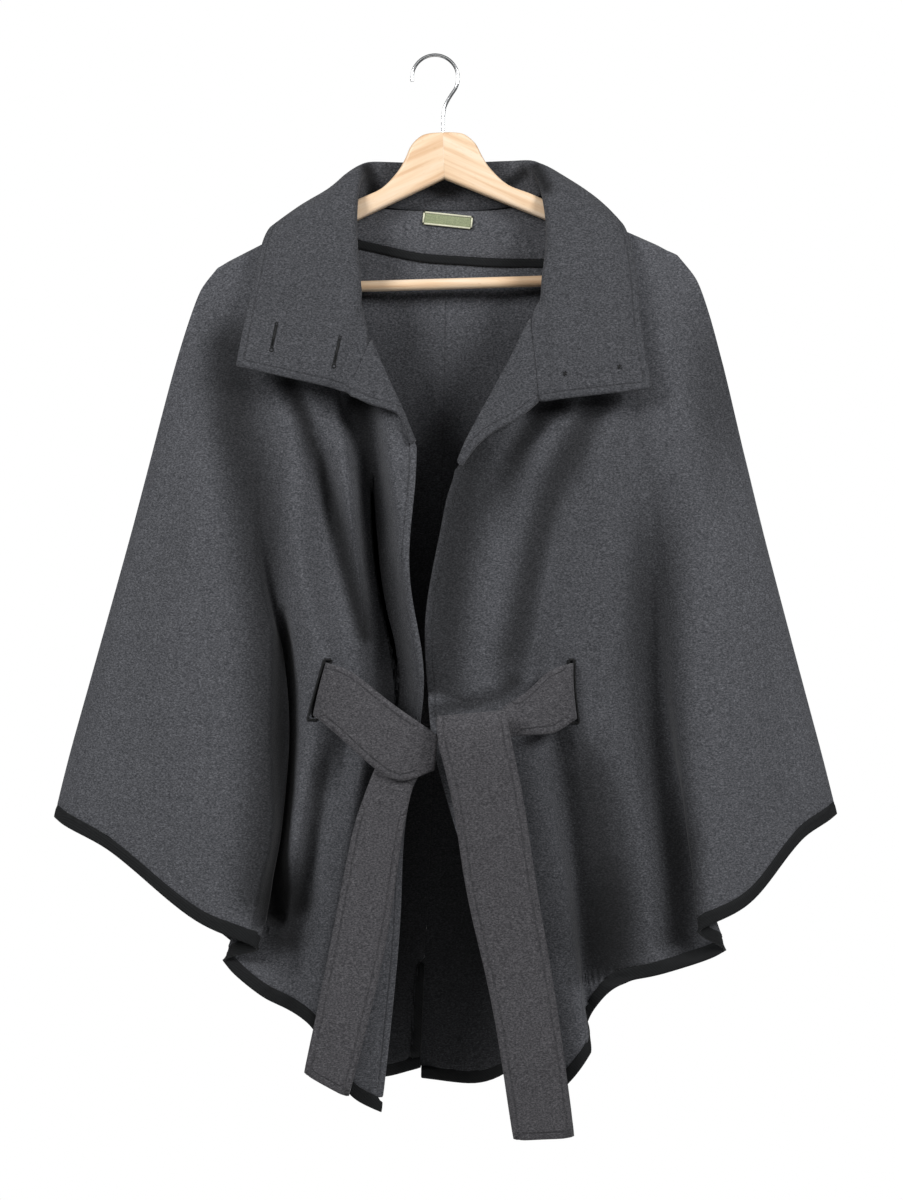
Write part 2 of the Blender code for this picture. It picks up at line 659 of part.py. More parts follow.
def make_hook():
    """A round wire hook: bend over the crown, then an easy curve in to the stem."""
    centre_z = HOOK_WIRE_R - HOOK_BEND_R
    route = []
    for degrees in range(HOOK_TIP, HOOK_NECK_START - 1, -HOOK_STEP):
        angle = math.radians(degrees)
        x = HOOK_BEND_R * math.cos(angle)
        z = centre_z + HOOK_BEND_R * math.sin(angle)
        route.append((x, z))
    route += list(HOOK_NECK) + [(HEAD_X, HEAD_Z + SEAM_GAP)]
    wire = bpy.data.curves.new("hanger_hook", "CURVE")
    wire.dimensions = "3D"
    wire.bevel_depth = HOOK_WIRE_R * MM
    wire.bevel_resolution = 2
    wire.use_fill_caps = True
    line = wire.splines.new("POLY")
    line.points.add(len(route) - 1)
    for point, (x, z) in zip(line.points, route):
        point.co = (x * MM, 0, z * MM, 1)
    add_object("hanger_hook", wire, "chrome")


def arm_outline():
    """Half of the hanger from the front: out along its top, round its lobe and back below."""
    tip = hanger_drop(ARM_REACH)
    outline = [(SEAM_GAP / 2, 0)] + list(HANGER_TOP[1:])
    outline.append((ARM_REACH - ARM_TIP_ROUND, hanger_drop(ARM_REACH - ARM_TIP_ROUND)))
    outline.append((ARM_REACH, tip - ARM_TIP_ROUND))
    outline.append((ARM_REACH, LOBE_ROUND - LOBE_BOTTOM))
    outline.append((ARM_REACH - LOBE_ROUND, -LOBE_BOTTOM))
    outline.append((BAR_SEAT + 2, -LOBE_BOTTOM))
    outline.append((BAR_SEAT, LOBE_ROUND / 2 - LOBE_BOTTOM))
    low = -ARM_LOW_MIDDLE - (BAR_SEAT - LOBE_NOTCH) * ARM_LOW_SLOPE
    outline.append((BAR_SEAT, low - ARM_TIP_ROUND))
    outline.append((BAR_SEAT - LOBE_NOTCH, low))
    return outline + [(SEAM_GAP / 2, -ARM_LOW_MIDDLE)]


def make_hanger_arm(name, side):
    """Half of the wooden hanger: a flat outline with rounded edges."""
    outline = arm_outline()
    flat = bpy.data.curves.new(name, "CURVE")
    flat.dimensions = "2D"
    flat.fill_mode = "BOTH"
    flat.extrude = (HANGER_HALF_THICK - ARM_RIM) * MM
    flat.bevel_depth = ARM_RIM * MM
    flat.bevel_resolution = 1
    flat.offset = -ARM_RIM * MM
    line = flat.splines.new("POLY")
    line.use_cyclic_u = True
    line.points.add(len(outline) - 1)
    ordered = outline if side > 0 else [(-x, z) for x, z in outline]
    for point, (x, z) in zip(line.points, ordered):
        point.co = (x * MM, z * MM, 0, 1)
    arm = add_object(name, flat, "wood")
    arm.location = (HEAD_X * MM, 0, HEAD_Z * MM)
    arm.rotation_euler = (math.radians(90), -HANGER_TILT, 0)


def make_hanger_bar():
    length = 2 * (BAR_SEAT - SEAM_GAP)
    down = Vector((math.sin(HANGER_TILT), 0, -math.cos(HANGER_TILT))) * BAR_DROP
    centre = Vector((HEAD_X, 0, HEAD_Z)) + down
    bpy.ops.mesh.primitive_cylinder_add(
        vertices=ROUND_SIDES,
        radius=BAR_R * MM,
        depth=length * MM,
        location=centre * MM,
        rotation=(0, math.radians(90) - HANGER_TILT, 0),
    )
    bar = bpy.context.object
    bar.name = bar.data.name = "hanger_bar"
    adopt(bar, "wood")


def make_belt(right_slit, left_slit):
    """Two stretches out of the slits to the half knot, two ends, and the stretch behind."""
    through = (BELT_INSIDE, 0, BELT_OUTSIDE)
    make_belt_run("belt_front_right", slit_rows(right_slit, through) + list(BELT_RIGHT_FRONT))
    make_belt_run("belt_front_left", slit_rows(left_slit, through) + list(BELT_LEFT_FRONT))
    make_belt_run("belt_end_right", BELT_RIGHT_END)
    make_belt_run("belt_end_left", BELT_LEFT_END, LEFT_END_ROWS_A_ROW)
    behind = (BELT_INSIDE - BELT_BACK_GAP,)
    around = slit_rows(right_slit, behind) + list(BELT_BACK) + slit_rows(left_slit, behind)
    make_belt_run("belt_back", around, crown=0)


def main():
    clear_scene()
    home = bpy.data.collections.new("belted cape")
    bpy.context.scene.collection.children.link(home)
    make_hook()
    make_hanger_arm("hanger_arm_right", -1)
    make_hanger_arm("hanger_arm_left", 1)
    make_hanger_bar()
    right_slit = make_front("front_right", RIGHT_FRONT, RIGHT_SLIT_FOLD, SLIT_LEAN_RIGHT)
    left_slit = make_front("front_left", LEFT_FRONT, LEFT_SLIT_FOLD, SLIT_LEAN_LEFT)
    make_back("back_right", RIGHT_BACK, True)
    make_back("back_left", LEFT_BACK, False)
    make_collar()
    make_turned_edge("front_right_turn", RIGHT_TURN)
    make_turned_edge("front_left_turn", LEFT_TURN)
    make_belt(right_slit, left_slit)
    make_neck_facing()
    make_buttons()


main()
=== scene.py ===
import math

import bmesh
import bpy
from mathutils import Matrix, Vector, noise
from mathutils.bvhtree import BVHTree
from mathutils.kdtree import KDTree


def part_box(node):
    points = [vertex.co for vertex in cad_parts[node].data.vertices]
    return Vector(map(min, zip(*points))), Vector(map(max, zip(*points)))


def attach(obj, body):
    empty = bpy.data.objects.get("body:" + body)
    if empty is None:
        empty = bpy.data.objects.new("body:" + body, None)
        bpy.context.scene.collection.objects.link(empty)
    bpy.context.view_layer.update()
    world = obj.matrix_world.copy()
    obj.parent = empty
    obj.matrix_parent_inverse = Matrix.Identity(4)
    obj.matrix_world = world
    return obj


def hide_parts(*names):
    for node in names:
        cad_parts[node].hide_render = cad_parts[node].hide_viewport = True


# A charcoal wool cape with a tie belt, open on a wooden hanger.
# Lengths in the dictionaries are millimetres; -Y is the front and +Z is up.

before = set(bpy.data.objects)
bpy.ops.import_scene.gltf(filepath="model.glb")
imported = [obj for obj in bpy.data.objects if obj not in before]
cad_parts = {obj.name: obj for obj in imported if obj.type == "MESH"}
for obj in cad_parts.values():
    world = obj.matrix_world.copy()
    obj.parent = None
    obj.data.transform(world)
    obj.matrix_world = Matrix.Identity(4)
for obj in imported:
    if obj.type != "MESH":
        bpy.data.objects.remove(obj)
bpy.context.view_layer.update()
mm = 0.001
print("frame loaded:", len(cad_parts), "nodes")


def linear(hexText):
    # sRGB hex to linear colour
    values = []
    for place in (0, 2, 4):
        part = int(hexText[place:place + 2], 16) / 255
        values.append(part / 12.92 if part <= 0.04045 else ((part + 0.055) / 1.055) ** 2.4)
    return (*values, 1.0)


def addNode(tree, kind, settings=None, links=None):
    node = tree.nodes.new("ShaderNode" + kind)
    for key, value in (settings or {}).items():
        if key == "stops":      # places and colours of a colour ramp
            band = node.color_ramp.elements
            while len(band) < len(value):
                band.new(0.5)
            for element, (place, colour) in zip(band, value):
                element.position, element.color = place, colour
        elif isinstance(key, str) and hasattr(node, key):
            setattr(node, key, value)
        else:
            node.inputs[key].default_value = value
    for key, source in (links or {}).items():
        tree.links.new(source, node.inputs[key])
    return node


def startMaterial(name, constants):
    look = bpy.data.materials.new(name)
    look.use_nodes = True
    tree = look.node_tree
    shader = tree.nodes["Principled BSDF"]
    for key, value in constants.items():
        shader.inputs[key].default_value = value
    place = addNode(tree, "TexCoord").outputs["Object"]
    return look, tree, shader, place


def closeMaterial(tree, shader, colour, rough=None, height=None, strength=0, depth=0):
    # joins the colour to the shader, and where given a varying roughness and a relief
    tree.links.new(colour, shader.inputs["Base Color"])
    if rough is not None:
        tree.links.new(rough, shader.inputs["Roughness"])
    if height is not None:
        bump = addNode(tree, "Bump", {"Strength": strength, "Distance": depth * mm}, {"Height": height})
        tree.links.new(bump.outputs[0], shader.inputs["Normal"])


# the cloths' colours, and how far in from the edge their topstitching runs
woolLooks = {
    "feltedWool": {"dark": "2b2d31", "mid": "4a4b4f", "light": "67686d", "fleck": "85868b", "inset": 7.0},
    "beltWool": {"dark": "28282b", "mid": "444346", "light": "5e5d60", "fleck": "79787b", "inset": 6.5},
}
woolGrain = {
    "fibre": 1.25,    # the real fibres are 0.02 mm; drawn as coarse as they show, in little tufts
    "fleck": 1.3,
    "mottle": 9.0,
    "cloud": 110.0,
    "seamGroove": 0.8,     # how far the topstitching sinks the nap on each side of itself
    "bump": 0.5,
}


def makeWool(name):
    # Felted melange wool, fulled and brushed: matt, grainy, with pale stray fibres.
    values = woolLooks[name]
    look, tree, shader, place = startMaterial(name, {
        "Roughness": 0.92,
        "Sheen Weight": 0.10,
        "Sheen Roughness": 0.45,
        "Specular IOR Level": 0.22,
    })
    combed = addNode(tree, "Mapping", {"Scale": (0.6, 0.6, 1)}, {"Vector": place}).outputs[0]
    fibre = addNode(tree, "TexNoise", {
        "Scale": 1 / (woolGrain["fibre"] * mm), "Detail": 3, "Roughness": 0.7,
    }, {"Vector": combed}).outputs["Fac"]
    fleck = addNode(tree, "TexNoise", {
        "Scale": 1 / (woolGrain["fleck"] * mm), "Detail": 2, "Roughness": 0.6, "Distortion": 0.6,
    }, {"Vector": combed}).outputs["Fac"]
    mottle = addNode(tree, "TexNoise", {
        "Scale": 1 / (woolGrain["mottle"] * mm), "Detail": 3, "Roughness": 0.6,
    }, {"Vector": place}).outputs["Fac"]
    cloud = addNode(tree, "TexNoise", {
        "Scale": 1 / (woolGrain["cloud"] * mm), "Detail": 2,
    }, {"Vector": place}).outputs["Fac"]

    grain = addNode(tree, "ValToRGB", {"stops": [
        (0.30, linear(values["dark"])), (0.50, linear(values["mid"])),
        (0.68, linear(values["light"])),
    ]}, {"Fac": fibre}).outputs[0]
    pale = addNode(tree, "ValToRGB", {
        "stops": [(0.60, (0, 0, 0, 1)), (0.72, (1, 1, 1, 1))],
    }, {"Fac": fleck}).outputs[0]
    withFleck = addNode(tree, "Mix", {"data_type": "RGBA"}, {
        0: addNode(tree, "Math", {"operation": "MULTIPLY", 1: 0.45}, {0: pale}).outputs[0],
        6: grain,
    })
    withFleck.inputs[7].default_value = linear(values["fleck"])
    tone = addNode(tree, "MapRange", {"To Min": 0.90, "To Max": 1.10}, {"Value": mottle})
    drift = addNode(tree, "MapRange", {"To Min": 0.92, "To Max": 1.08}, {"Value": cloud})
    shade = addNode(tree, "Math", {"operation": "MULTIPLY"}, {
        0: tone.outputs[0], 1: drift.outputs[0],
    }).outputs[0]

    # the topstitched groove, a set distance in from the cut edge: sunk by a bump, and darkened by painted
    # shade
    edge = addNode(tree, "Attribute", {"attribute_name": "edgeDistance"}).outputs["Fac"]
    away = addNode(tree, "Math", {"operation": "SUBTRACT", 1: values["inset"] * mm}, {0: edge})
    near = addNode(tree, "Math", {"operation": "ABSOLUTE"}, {0: away.outputs[0]})
    groove = addNode(tree, "MapRange", {
        "interpolation_type": "SMOOTHSTEP",
        "From Min": 0.0, "From Max": woolGrain["seamGroove"] * 2 * mm, "To Min": 0.0, "To Max": 1.0,
    }, {"Value": near.outputs[0]}).outputs[0]
    paintedGrooveShade = addNode(tree, "MapRange", {"To Min": 0.88, "To Max": 1.0}, {"Value": groove}).outputs[0]
    allShade = addNode(tree, "Math", {"operation": "MULTIPLY"}, {0: shade, 1: paintedGrooveShade}).outputs[0]
    # painted shade: the colour is darkened by the value stored per point, in the folds, on the backs' inner
    # side and over a few whole pieces
    hollow = addNode(tree, "Attribute", {"attribute_name": "hollow"}).outputs["Fac"]
    lit = addNode(tree, "Math", {"operation": "SUBTRACT", 0: 1.0}, {1: hollow}).outputs[0]
    woolShade = addNode(tree, "Math", {"operation": "MULTIPLY"}, {0: allShade, 1: lit}).outputs[0]
    colour = addNode(tree, "VectorMath", {"operation": "SCALE"}, {
        0: withFleck.outputs[2], "Scale": woolShade,
    }).outputs[0]
    tree.links.new(colour, shader.inputs["Base Color"])

    height = addNode(tree, "Math", {"operation": "ADD"}, {0: fibre, 1: fleck}).outputs[0]
    fuzz = addNode(tree, "Bump", {"Strength": woolGrain["bump"], "Distance": 0.6 * mm}, {"Height": height})
    sunk = addNode(tree, "Bump", {"Strength": 0.8, "Distance": 0.8 * mm}, {
        "Height": groove, "Normal": fuzz.outputs[0],
    })
    tree.links.new(sunk.outputs[0], shader.inputs["Normal"])
    return look


tapeValues = {"dark": "08090b", "light": "15181a", "rib": 1.6, "worn": 6}


def makeTape(name):
    # Folded cotton binding tape: flat, near black, with a faint rib across it.
    look, tree, shader, place = startMaterial(name, {
        "Roughness": 0.8, "Sheen Weight": 0.08, "Specular IOR Level": 0.25,
    })
    rib = addNode(tree, "TexWave", {    # the real rib is 0.5 mm; drawn coarser so that it shows
        "bands_direction": "DIAGONAL", "Scale": 1 / (tapeValues["rib"] * 3 * mm), "Distortion": 1.5,
        "Detail": 2,
    }, {"Vector": place}).outputs["Fac"]
    worn = addNode(tree, "TexNoise", {
        "Scale": 1 / (tapeValues["worn"] * mm), "Detail": 3,
    }, {"Vector": place}).outputs["Fac"]
    both = addNode(tree, "Math", {"operation": "MULTIPLY"}, {0: rib, 1: worn}).outputs[0]
    colour = addNode(tree, "ValToRGB", {
        "stops": [(0.1, linear(tapeValues["dark"])), (0.75, linear(tapeValues["light"]))],
    }, {"Fac": both}).outputs[0]
    closeMaterial(tree, shader, colour, None, rib, 0.4, 0.3)
    return look


threadValues = {"twist": 0.6}


def makeThread(name, darkHex, lightHex):
    # Spun polyester sewing thread: fine twist, slight shine.
    look, tree, shader, place = startMaterial(name, {"Roughness": 0.6, "Specular IOR Level": 0.35})
    twist = addNode(tree, "TexNoise", {
        "Scale": 1 / (threadValues["twist"] * mm), "Detail": 2,
    }, {"Vector": place}).outputs["Fac"]
    colour = addNode(tree, "ValToRGB", {
        "stops": [(0.35, linear(darkHex)), (0.65, linear(lightHex))],
    }, {"Fac": twist}).outputs[0]
    closeMaterial(tree, shader, colour, None, twist, 0.3, 0.2)
    return look


woodValues = {"pale": "f1dac0", "mid": "eaccaa", "line": "dcb690", "pore": "c39a70", "ring": 7.0,
              "dash": 1.1}


def makeBeech(name, turn):
    # Lacquered beech: pale, straight grain along the arm, short dark flecks, satin coat.
    look, tree, shader, place = startMaterial(name, {
        "Roughness": 0.42, "Coat Weight": 0.25, "Coat Roughness": 0.25, "IOR": 1.5,
    })
    along = addNode(tree, "Mapping", {"Rotation": (0, turn, 0)}, {"Vector": place}).outputs[0]
    stretched = addNode(tree, "Mapping", {"Scale": (0.06, 1, 1)}, {"Vector": along}).outputs[0]
    rings = addNode(tree, "TexNoise", {
        "Scale": 1 / (woodValues["ring"] * mm), "Detail": 5, "Roughness": 0.55, "Distortion": 0.4,
    }, {"Vector": stretched}).outputs["Fac"]
    grain = addNode(tree, "ValToRGB", {"stops": [
        (0.32, linear(woodValues["line"])), (0.5, linear(woodValues["mid"])),
        (0.66, linear(woodValues["pale"])),
    ]}, {"Fac": rings}).outputs[0]
    dashes = addNode(tree, "Mapping", {"Scale": (0.16, 1, 1)}, {"Vector": along}).outputs[0]
    pores = addNode(tree, "TexNoise", {
        "Scale": 1 / (woodValues["dash"] * mm), "Detail": 1,
    }, {"Vector": dashes}).outputs["Fac"]
    flecks = addNode(tree, "ValToRGB", {
        "stops": [(0.68, (0, 0, 0, 1)), (0.76, (1, 1, 1, 1))],
    }, {"Fac": pores}).outputs[0]
    share = addNode(tree, "Math", {"operation": "MULTIPLY", 1: 0.35}, {0: flecks}).outputs[0]
    mixed = addNode(tree, "Mix", {"data_type": "RGBA"}, {0: share, 6: grain})
    mixed.inputs[7].default_value = linear(woodValues["pore"])
    gloss = addNode(tree, "MapRange", {"To Min": 0.36, "To Max": 0.5}, {"Value": rings}).outputs[0]
    closeMaterial(tree, shader, mixed.outputs[2], gloss, rings, 0.15, 0.2)
    return look


chromeValues = {"low": "c8cacc", "high": "e6e7e8", "rub": 3}


def makeChrome(name):
    # Chromium plated steel wire: bright, with faint rub marks.
    look, tree, shader, place = startMaterial(name, {"Metallic": 1.0})
    rub = addNode(tree, "TexNoise", {
        "Scale": 1 / (chromeValues["rub"] * mm), "Detail": 4,
    }, {"Vector": place}).outputs["Fac"]
    colour = addNode(tree, "ValToRGB", {
        "stops": [(0.3, linear(chromeValues["low"])), (0.7, linear(chromeValues["high"]))],
    }, {"Fac": rub}).outputs[0]
    rough = addNode(tree, "MapRange", {"To Min": 0.14, "To Max": 0.3}, {"Value": rub}).outputs[0]
    closeMaterial(tree, shader, colour, rough, rub, 0.05, 0.05)
    return look


labelWeave = {"rib": 0.9, "weft": 1.2}


def makeLabelCloth(name, lowHex, highHex):
    # Woven satin label ribbon: fine upright ribs.
    look, tree, shader, place = startMaterial(name, {"Roughness": 0.6, "Sheen Weight": 0.1})
    rib = addNode(tree, "TexWave", {
        "bands_direction": "X", "Scale": 1 / (labelWeave["rib"] * 3 * mm), "Distortion": 0.6, "Detail": 2,
    }, {"Vector": place}).outputs["Fac"]
    weft = addNode(tree, "TexNoise", {
        "Scale": 1 / (labelWeave["weft"] * mm), "Detail": 3,
    }, {"Vector": place}).outputs["Fac"]
    both = addNode(tree, "Math", {"operation": "MULTIPLY_ADD", 1: 0.5, 2: 0.25}, {0: rib}).outputs[0]
    mixed = addNode(tree, "Math", {"operation": "MULTIPLY"}, {0: both, 1: weft}).outputs[0]
    colour = addNode(tree, "ValToRGB", {
        "stops": [(0.1, linear(lowHex)), (0.5, linear(highHex))],
    }, {"Fac": mixed}).outputs[0]
    closeMaterial(tree, shader, colour, None, rib, 0.4, 0.2)
    return look


hornValues = {"dark": "15120f", "light": "3d342b", "streak": 6}


def makeHorn(name):
    # Imitation horn button: polyester resin, dark and streaky under a polish.
    look, tree, shader, place = startMaterial(name, {"IOR": 1.5, "Coat Weight": 0.3, "Coat Roughness": 0.1})
    streak = addNode(tree, "TexNoise", {
        "Scale": 1 / (hornValues["streak"] * mm), "Detail": 4, "Distortion": 1.5,
    }, {"Vector": place}).outputs["Fac"]
    colour = addNode(tree, "ValToRGB", {
        "stops": [(0.35, linear(hornValues["dark"])), (0.7, linear(hornValues["light"]))],
    }, {"Fac": streak}).outputs[0]
    rough = addNode(tree, "MapRange", {"To Min": 0.2, "To Max": 0.35}, {"Value": streak}).outputs[0]
    closeMaterial(tree, shader, colour, rough)
    return look


floorValues = {"low": "eeeeed", "high": "f6f6f5", "patch": 90}


def makeStudioFloor(name):
    # Pale painted studio floor: flat white, barely mottled.
    look, tree, shader, place = startMaterial(name, {"Roughness": 0.9})
    patch = addNode(tree, "TexNoise", {
        "Scale": 1 / (floorValues["patch"] * mm), "Detail": 3,
    }, {"Vector": place}).outputs["Fac"]
    colour = addNode(tree, "ValToRGB", {
        "stops": [(0.3, linear(floorValues["low"])), (0.7, linear(floorValues["high"]))],
    }, {"Fac": patch}).outputs[0]
    closeMaterial(tree, shader, colour)
    return look


wool = makeWool("feltedWool")
beltWool = makeWool("beltWool")
tape = makeTape("cottonBinding")
blackThread = makeThread("blackThread", "050607", "0e0f10")
greyThread = makeThread("greyThread", "292a2d", "3e3f43")
beechRight = makeBeech("lacqueredBeechRight", math.radians(24))
beechLeft = makeBeech("lacqueredBeechLeft", math.radians(-24))
beechBar = makeBeech("lacqueredBeechBar", 0)
chrome = makeChrome("chromedWire")
labelCloth = makeLabelCloth("wovenLabel", "6b7355", "a3ab84")
labelEdge = makeLabelCloth("wovenLabelEdge", "c4c4a8", "edecd6")
horn = makeHorn("resinHorn")
floorPaint = makeStudioFloor("studioFloor")
print("materials made")


def addPiece(name, mesh, look, nodes=()):
    piece = bpy.data.objects.new(name, mesh)
    bpy.context.scene.collection.objects.link(piece)
    mesh.materials.clear()
    mesh.materials.append(look)
    mesh.shade_smooth()
    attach(piece, "root")
    if nodes:
        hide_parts(*nodes)
    return piece


def meshFrom(work, name):
    mesh = bpy.data.meshes.new(name)
    work.to_mesh(mesh)
    work.free()
    for layer in ("custom_normal", "sharp_edge", "sharp_face", "material_index"):
        if mesh.attributes.get(layer):
            mesh.attributes.remove(mesh.attributes[layer])
    return mesh


def mergedCopy(nodeName):
    cloth = bmesh.new()
    cloth.from_mesh(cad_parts[nodeName].data)
    bmesh.ops.remove_doubles(cloth, verts=cloth.verts, dist=0.02 * mm)
    for faceLimit, shapeLimit in ((40, 60), (80, 120)):
        bmesh.ops.join_triangles(
            cloth, faces=[face for face in cloth.faces if len(face.verts) == 3],
            angle_face_threshold=math.radians(faceLimit), angle_shape_threshold=math.radians(shapeLimit))
    return cloth


def findRims(cloth, thick):
    # the narrow faces that close the wall between its two skins
    rims = set()
    for face in cloth.faces:
        short = min(edge.calc_length() for edge in face.edges)
        if short > 1.4 * thick:
            continue
        sharp = [edge for edge in face.edges if edge.calc_face_angle(0) > 0.8]
        for one in sharp:
            if any(not set(one.verts) & set(other.verts) for other in sharp):
                rims.add(face)
    return rims


def borderPaths(cloth, rims):
    # each border edge with its skin's normal and the way in from the edge
    parts = []
    for edge in cloth.edges:
        skins = [face for face in edge.link_faces if face not in rims]
        if len(edge.link_faces) != 2 or len(skins) != 1:
            continue
        a, b = edge.verts[0].co.copy(), edge.verts[1].co.copy()
        along = (b - a).normalized()
        inward = skins[0].calc_center_median() - (a + b) / 2
        inward -= along * inward.dot(along)
        parts.append({"a": a, "b": b, "normal": skins[0].normal.copy(), "in": inward.normalized(),
                      "edge": edge})
    return parts


def smoothWall(name, cloth, levels):
    # Catmull-Clark smoothing of a wall, worked into its mesh
    rough = bpy.data.objects.new(name + "Rough", meshFrom(cloth, name + "Rough"))
    bpy.context.scene.collection.objects.link(rough)
    rounding = rough.modifiers.new("rounding", "SUBSURF")
    rounding.levels = rounding.render_levels = levels
    mesh = bpy.data.meshes.new_from_object(rough.evaluated_get(bpy.context.evaluated_depsgraph_get()))
    mesh.name = name
    bpy.data.objects.remove(rough)
    return mesh


# soft creases, seen from the front: points (x, z), half width, depth towards the viewer
frontCreases = [
    {"line": [(-185, -318), (-190, -400), (-180, -500)], "wide": 22, "deep": -3.0},
    {"line": [(-275, -413), (-295, -563), (-318, -705)], "wide": 26, "deep": -2.5},
    {"line": [(-240, -480), (-252, -620), (-270, -760)], "wide": 24, "deep": 2.0},
    {"line": [(-112, -600), (-128, -520), (-140, -440)], "wide": 9, "deep": 2.0},
    {"line": [(-117, -750), (-124, -820), (-136, -900), (-150, -925)], "wide": 8, "deep": -3.5},
    {"line": [(-96, -700), (-104, -780), (-112, -840)], "wide": 9, "deep": 2.0},
    {"line": [(296, -560), (312, -690), (326, -760)], "wide": 20, "deep": 2.2},
    {"line": [(335, -530), (358, -640), (376, -730)], "wide": 18, "deep": -1.8},
    {"line": [(150, -668), (178, -770), (205, -890)], "wide": 20, "deep": -3.0},
    {"line": [(112, -360), (92, -410), (84, -470)], "wide": 12, "deep": -3.0},
    {"line": [(170, -352), (160, -430), (150, -500)], "wide": 16, "deep": 2.0},
    {"line": [(230, -330), (238, -420), (240, -500)], "wide": 20, "deep": -2.0},
    {"line": [(146, -640), (176, -600), (196, -540)], "wide": 9, "deep": 1.6},
    {"line": [(140, -690), (146, -760), (150, -830)], "wide": 9, "deep": 1.8},
    {"line": [(40, -560), (60, -620), (96, -660)], "wide": 12, "deep": -1.8},
]
backCreases = [
    {"line": [(-150, -260), (-196, -420), (-226, -600)], "wide": 24, "deep": 3.0},
    {"line": [(-60, -300), (-70, -460), (-84, -640)], "wide": 26, "deep": -3.0},
    {"line": [(-120, -560), (-140, -720), (-160, -880)], "wide": 18, "deep": -3.0},
    {"line": [(70, -280), (84, -440), (92, -620)], "wide": 24, "deep": -3.0},
    {"line": [(170, -300), (214, -470), (244, -640)], "wide": 26, "deep": 3.0},
    {"line": [(140, -600), (170, -760), (190, -880)], "wide": 18, "deep": -3.0},
    {"line": [(-300, -520), (-316, -640), (-330, -740)], "wide": 18, "deep": 2.0},
    {"line": [(322, -520), (338, -640), (352, -740)], "wide": 18, "deep": 2.0},
    {"line": [(10, -300), (0, -600), (-14, -900)], "wide": 10, "deep": -1.5},
]
drift = {"frontRise": 1.3, "backRise": 1.8, "fineRise": 0.45, "across": 46, "down": 150,
         "fineAcross": 17, "fineDown": 34}
# depths y and heights z between which the soft moves fade in
holds = {
    "frontDepth": (-7, -26), "frontHeight": (-150, -240),
    "backDepth": (7, 22), "backHeight": (-215, -280),
    "nudgeDepth": (-4, -20),
}


def ease(value, start, end):
    share = min(1, max(0, (value - start) / (end - start)))
    return share * share * (3 - 2 * share)


def creaseHeight(crease, x, z):
    best = 0
    line = crease["line"]
    count = len(line) - 1
    for place in range(count):
        (x0, z0), (x1, z1) = line[place], line[place + 1]
        dx, dz = x1 - x0, z1 - z0
        share = ((x - x0) * dx + (z - z0) * dz) / (dx * dx + dz * dz)
        share = min(1, max(0, share))
        off = math.hypot(x - x0 - share * dx, z - z0 - share * dz) / crease["wide"]
        if off < 2.5:
            run = (place + share) / count
            fade = ease(run, 0, 0.3) * ease(run, 1, 0.65)
            best = max(best, math.exp(-off * off) * fade)
    return crease["deep"] * best


def softRise(x, z, creases, rise):
    total = rise * noise.noise(Vector((x / drift["across"], z / drift["down"], rise)))
    fine = Vector((x / drift["fineAcross"], z / drift["fineDown"], 7 + rise))
    total += drift["fineRise"] * noise.noise(fine)
    for crease in creases:
        total += creaseHeight(crease, x, z)
    return total
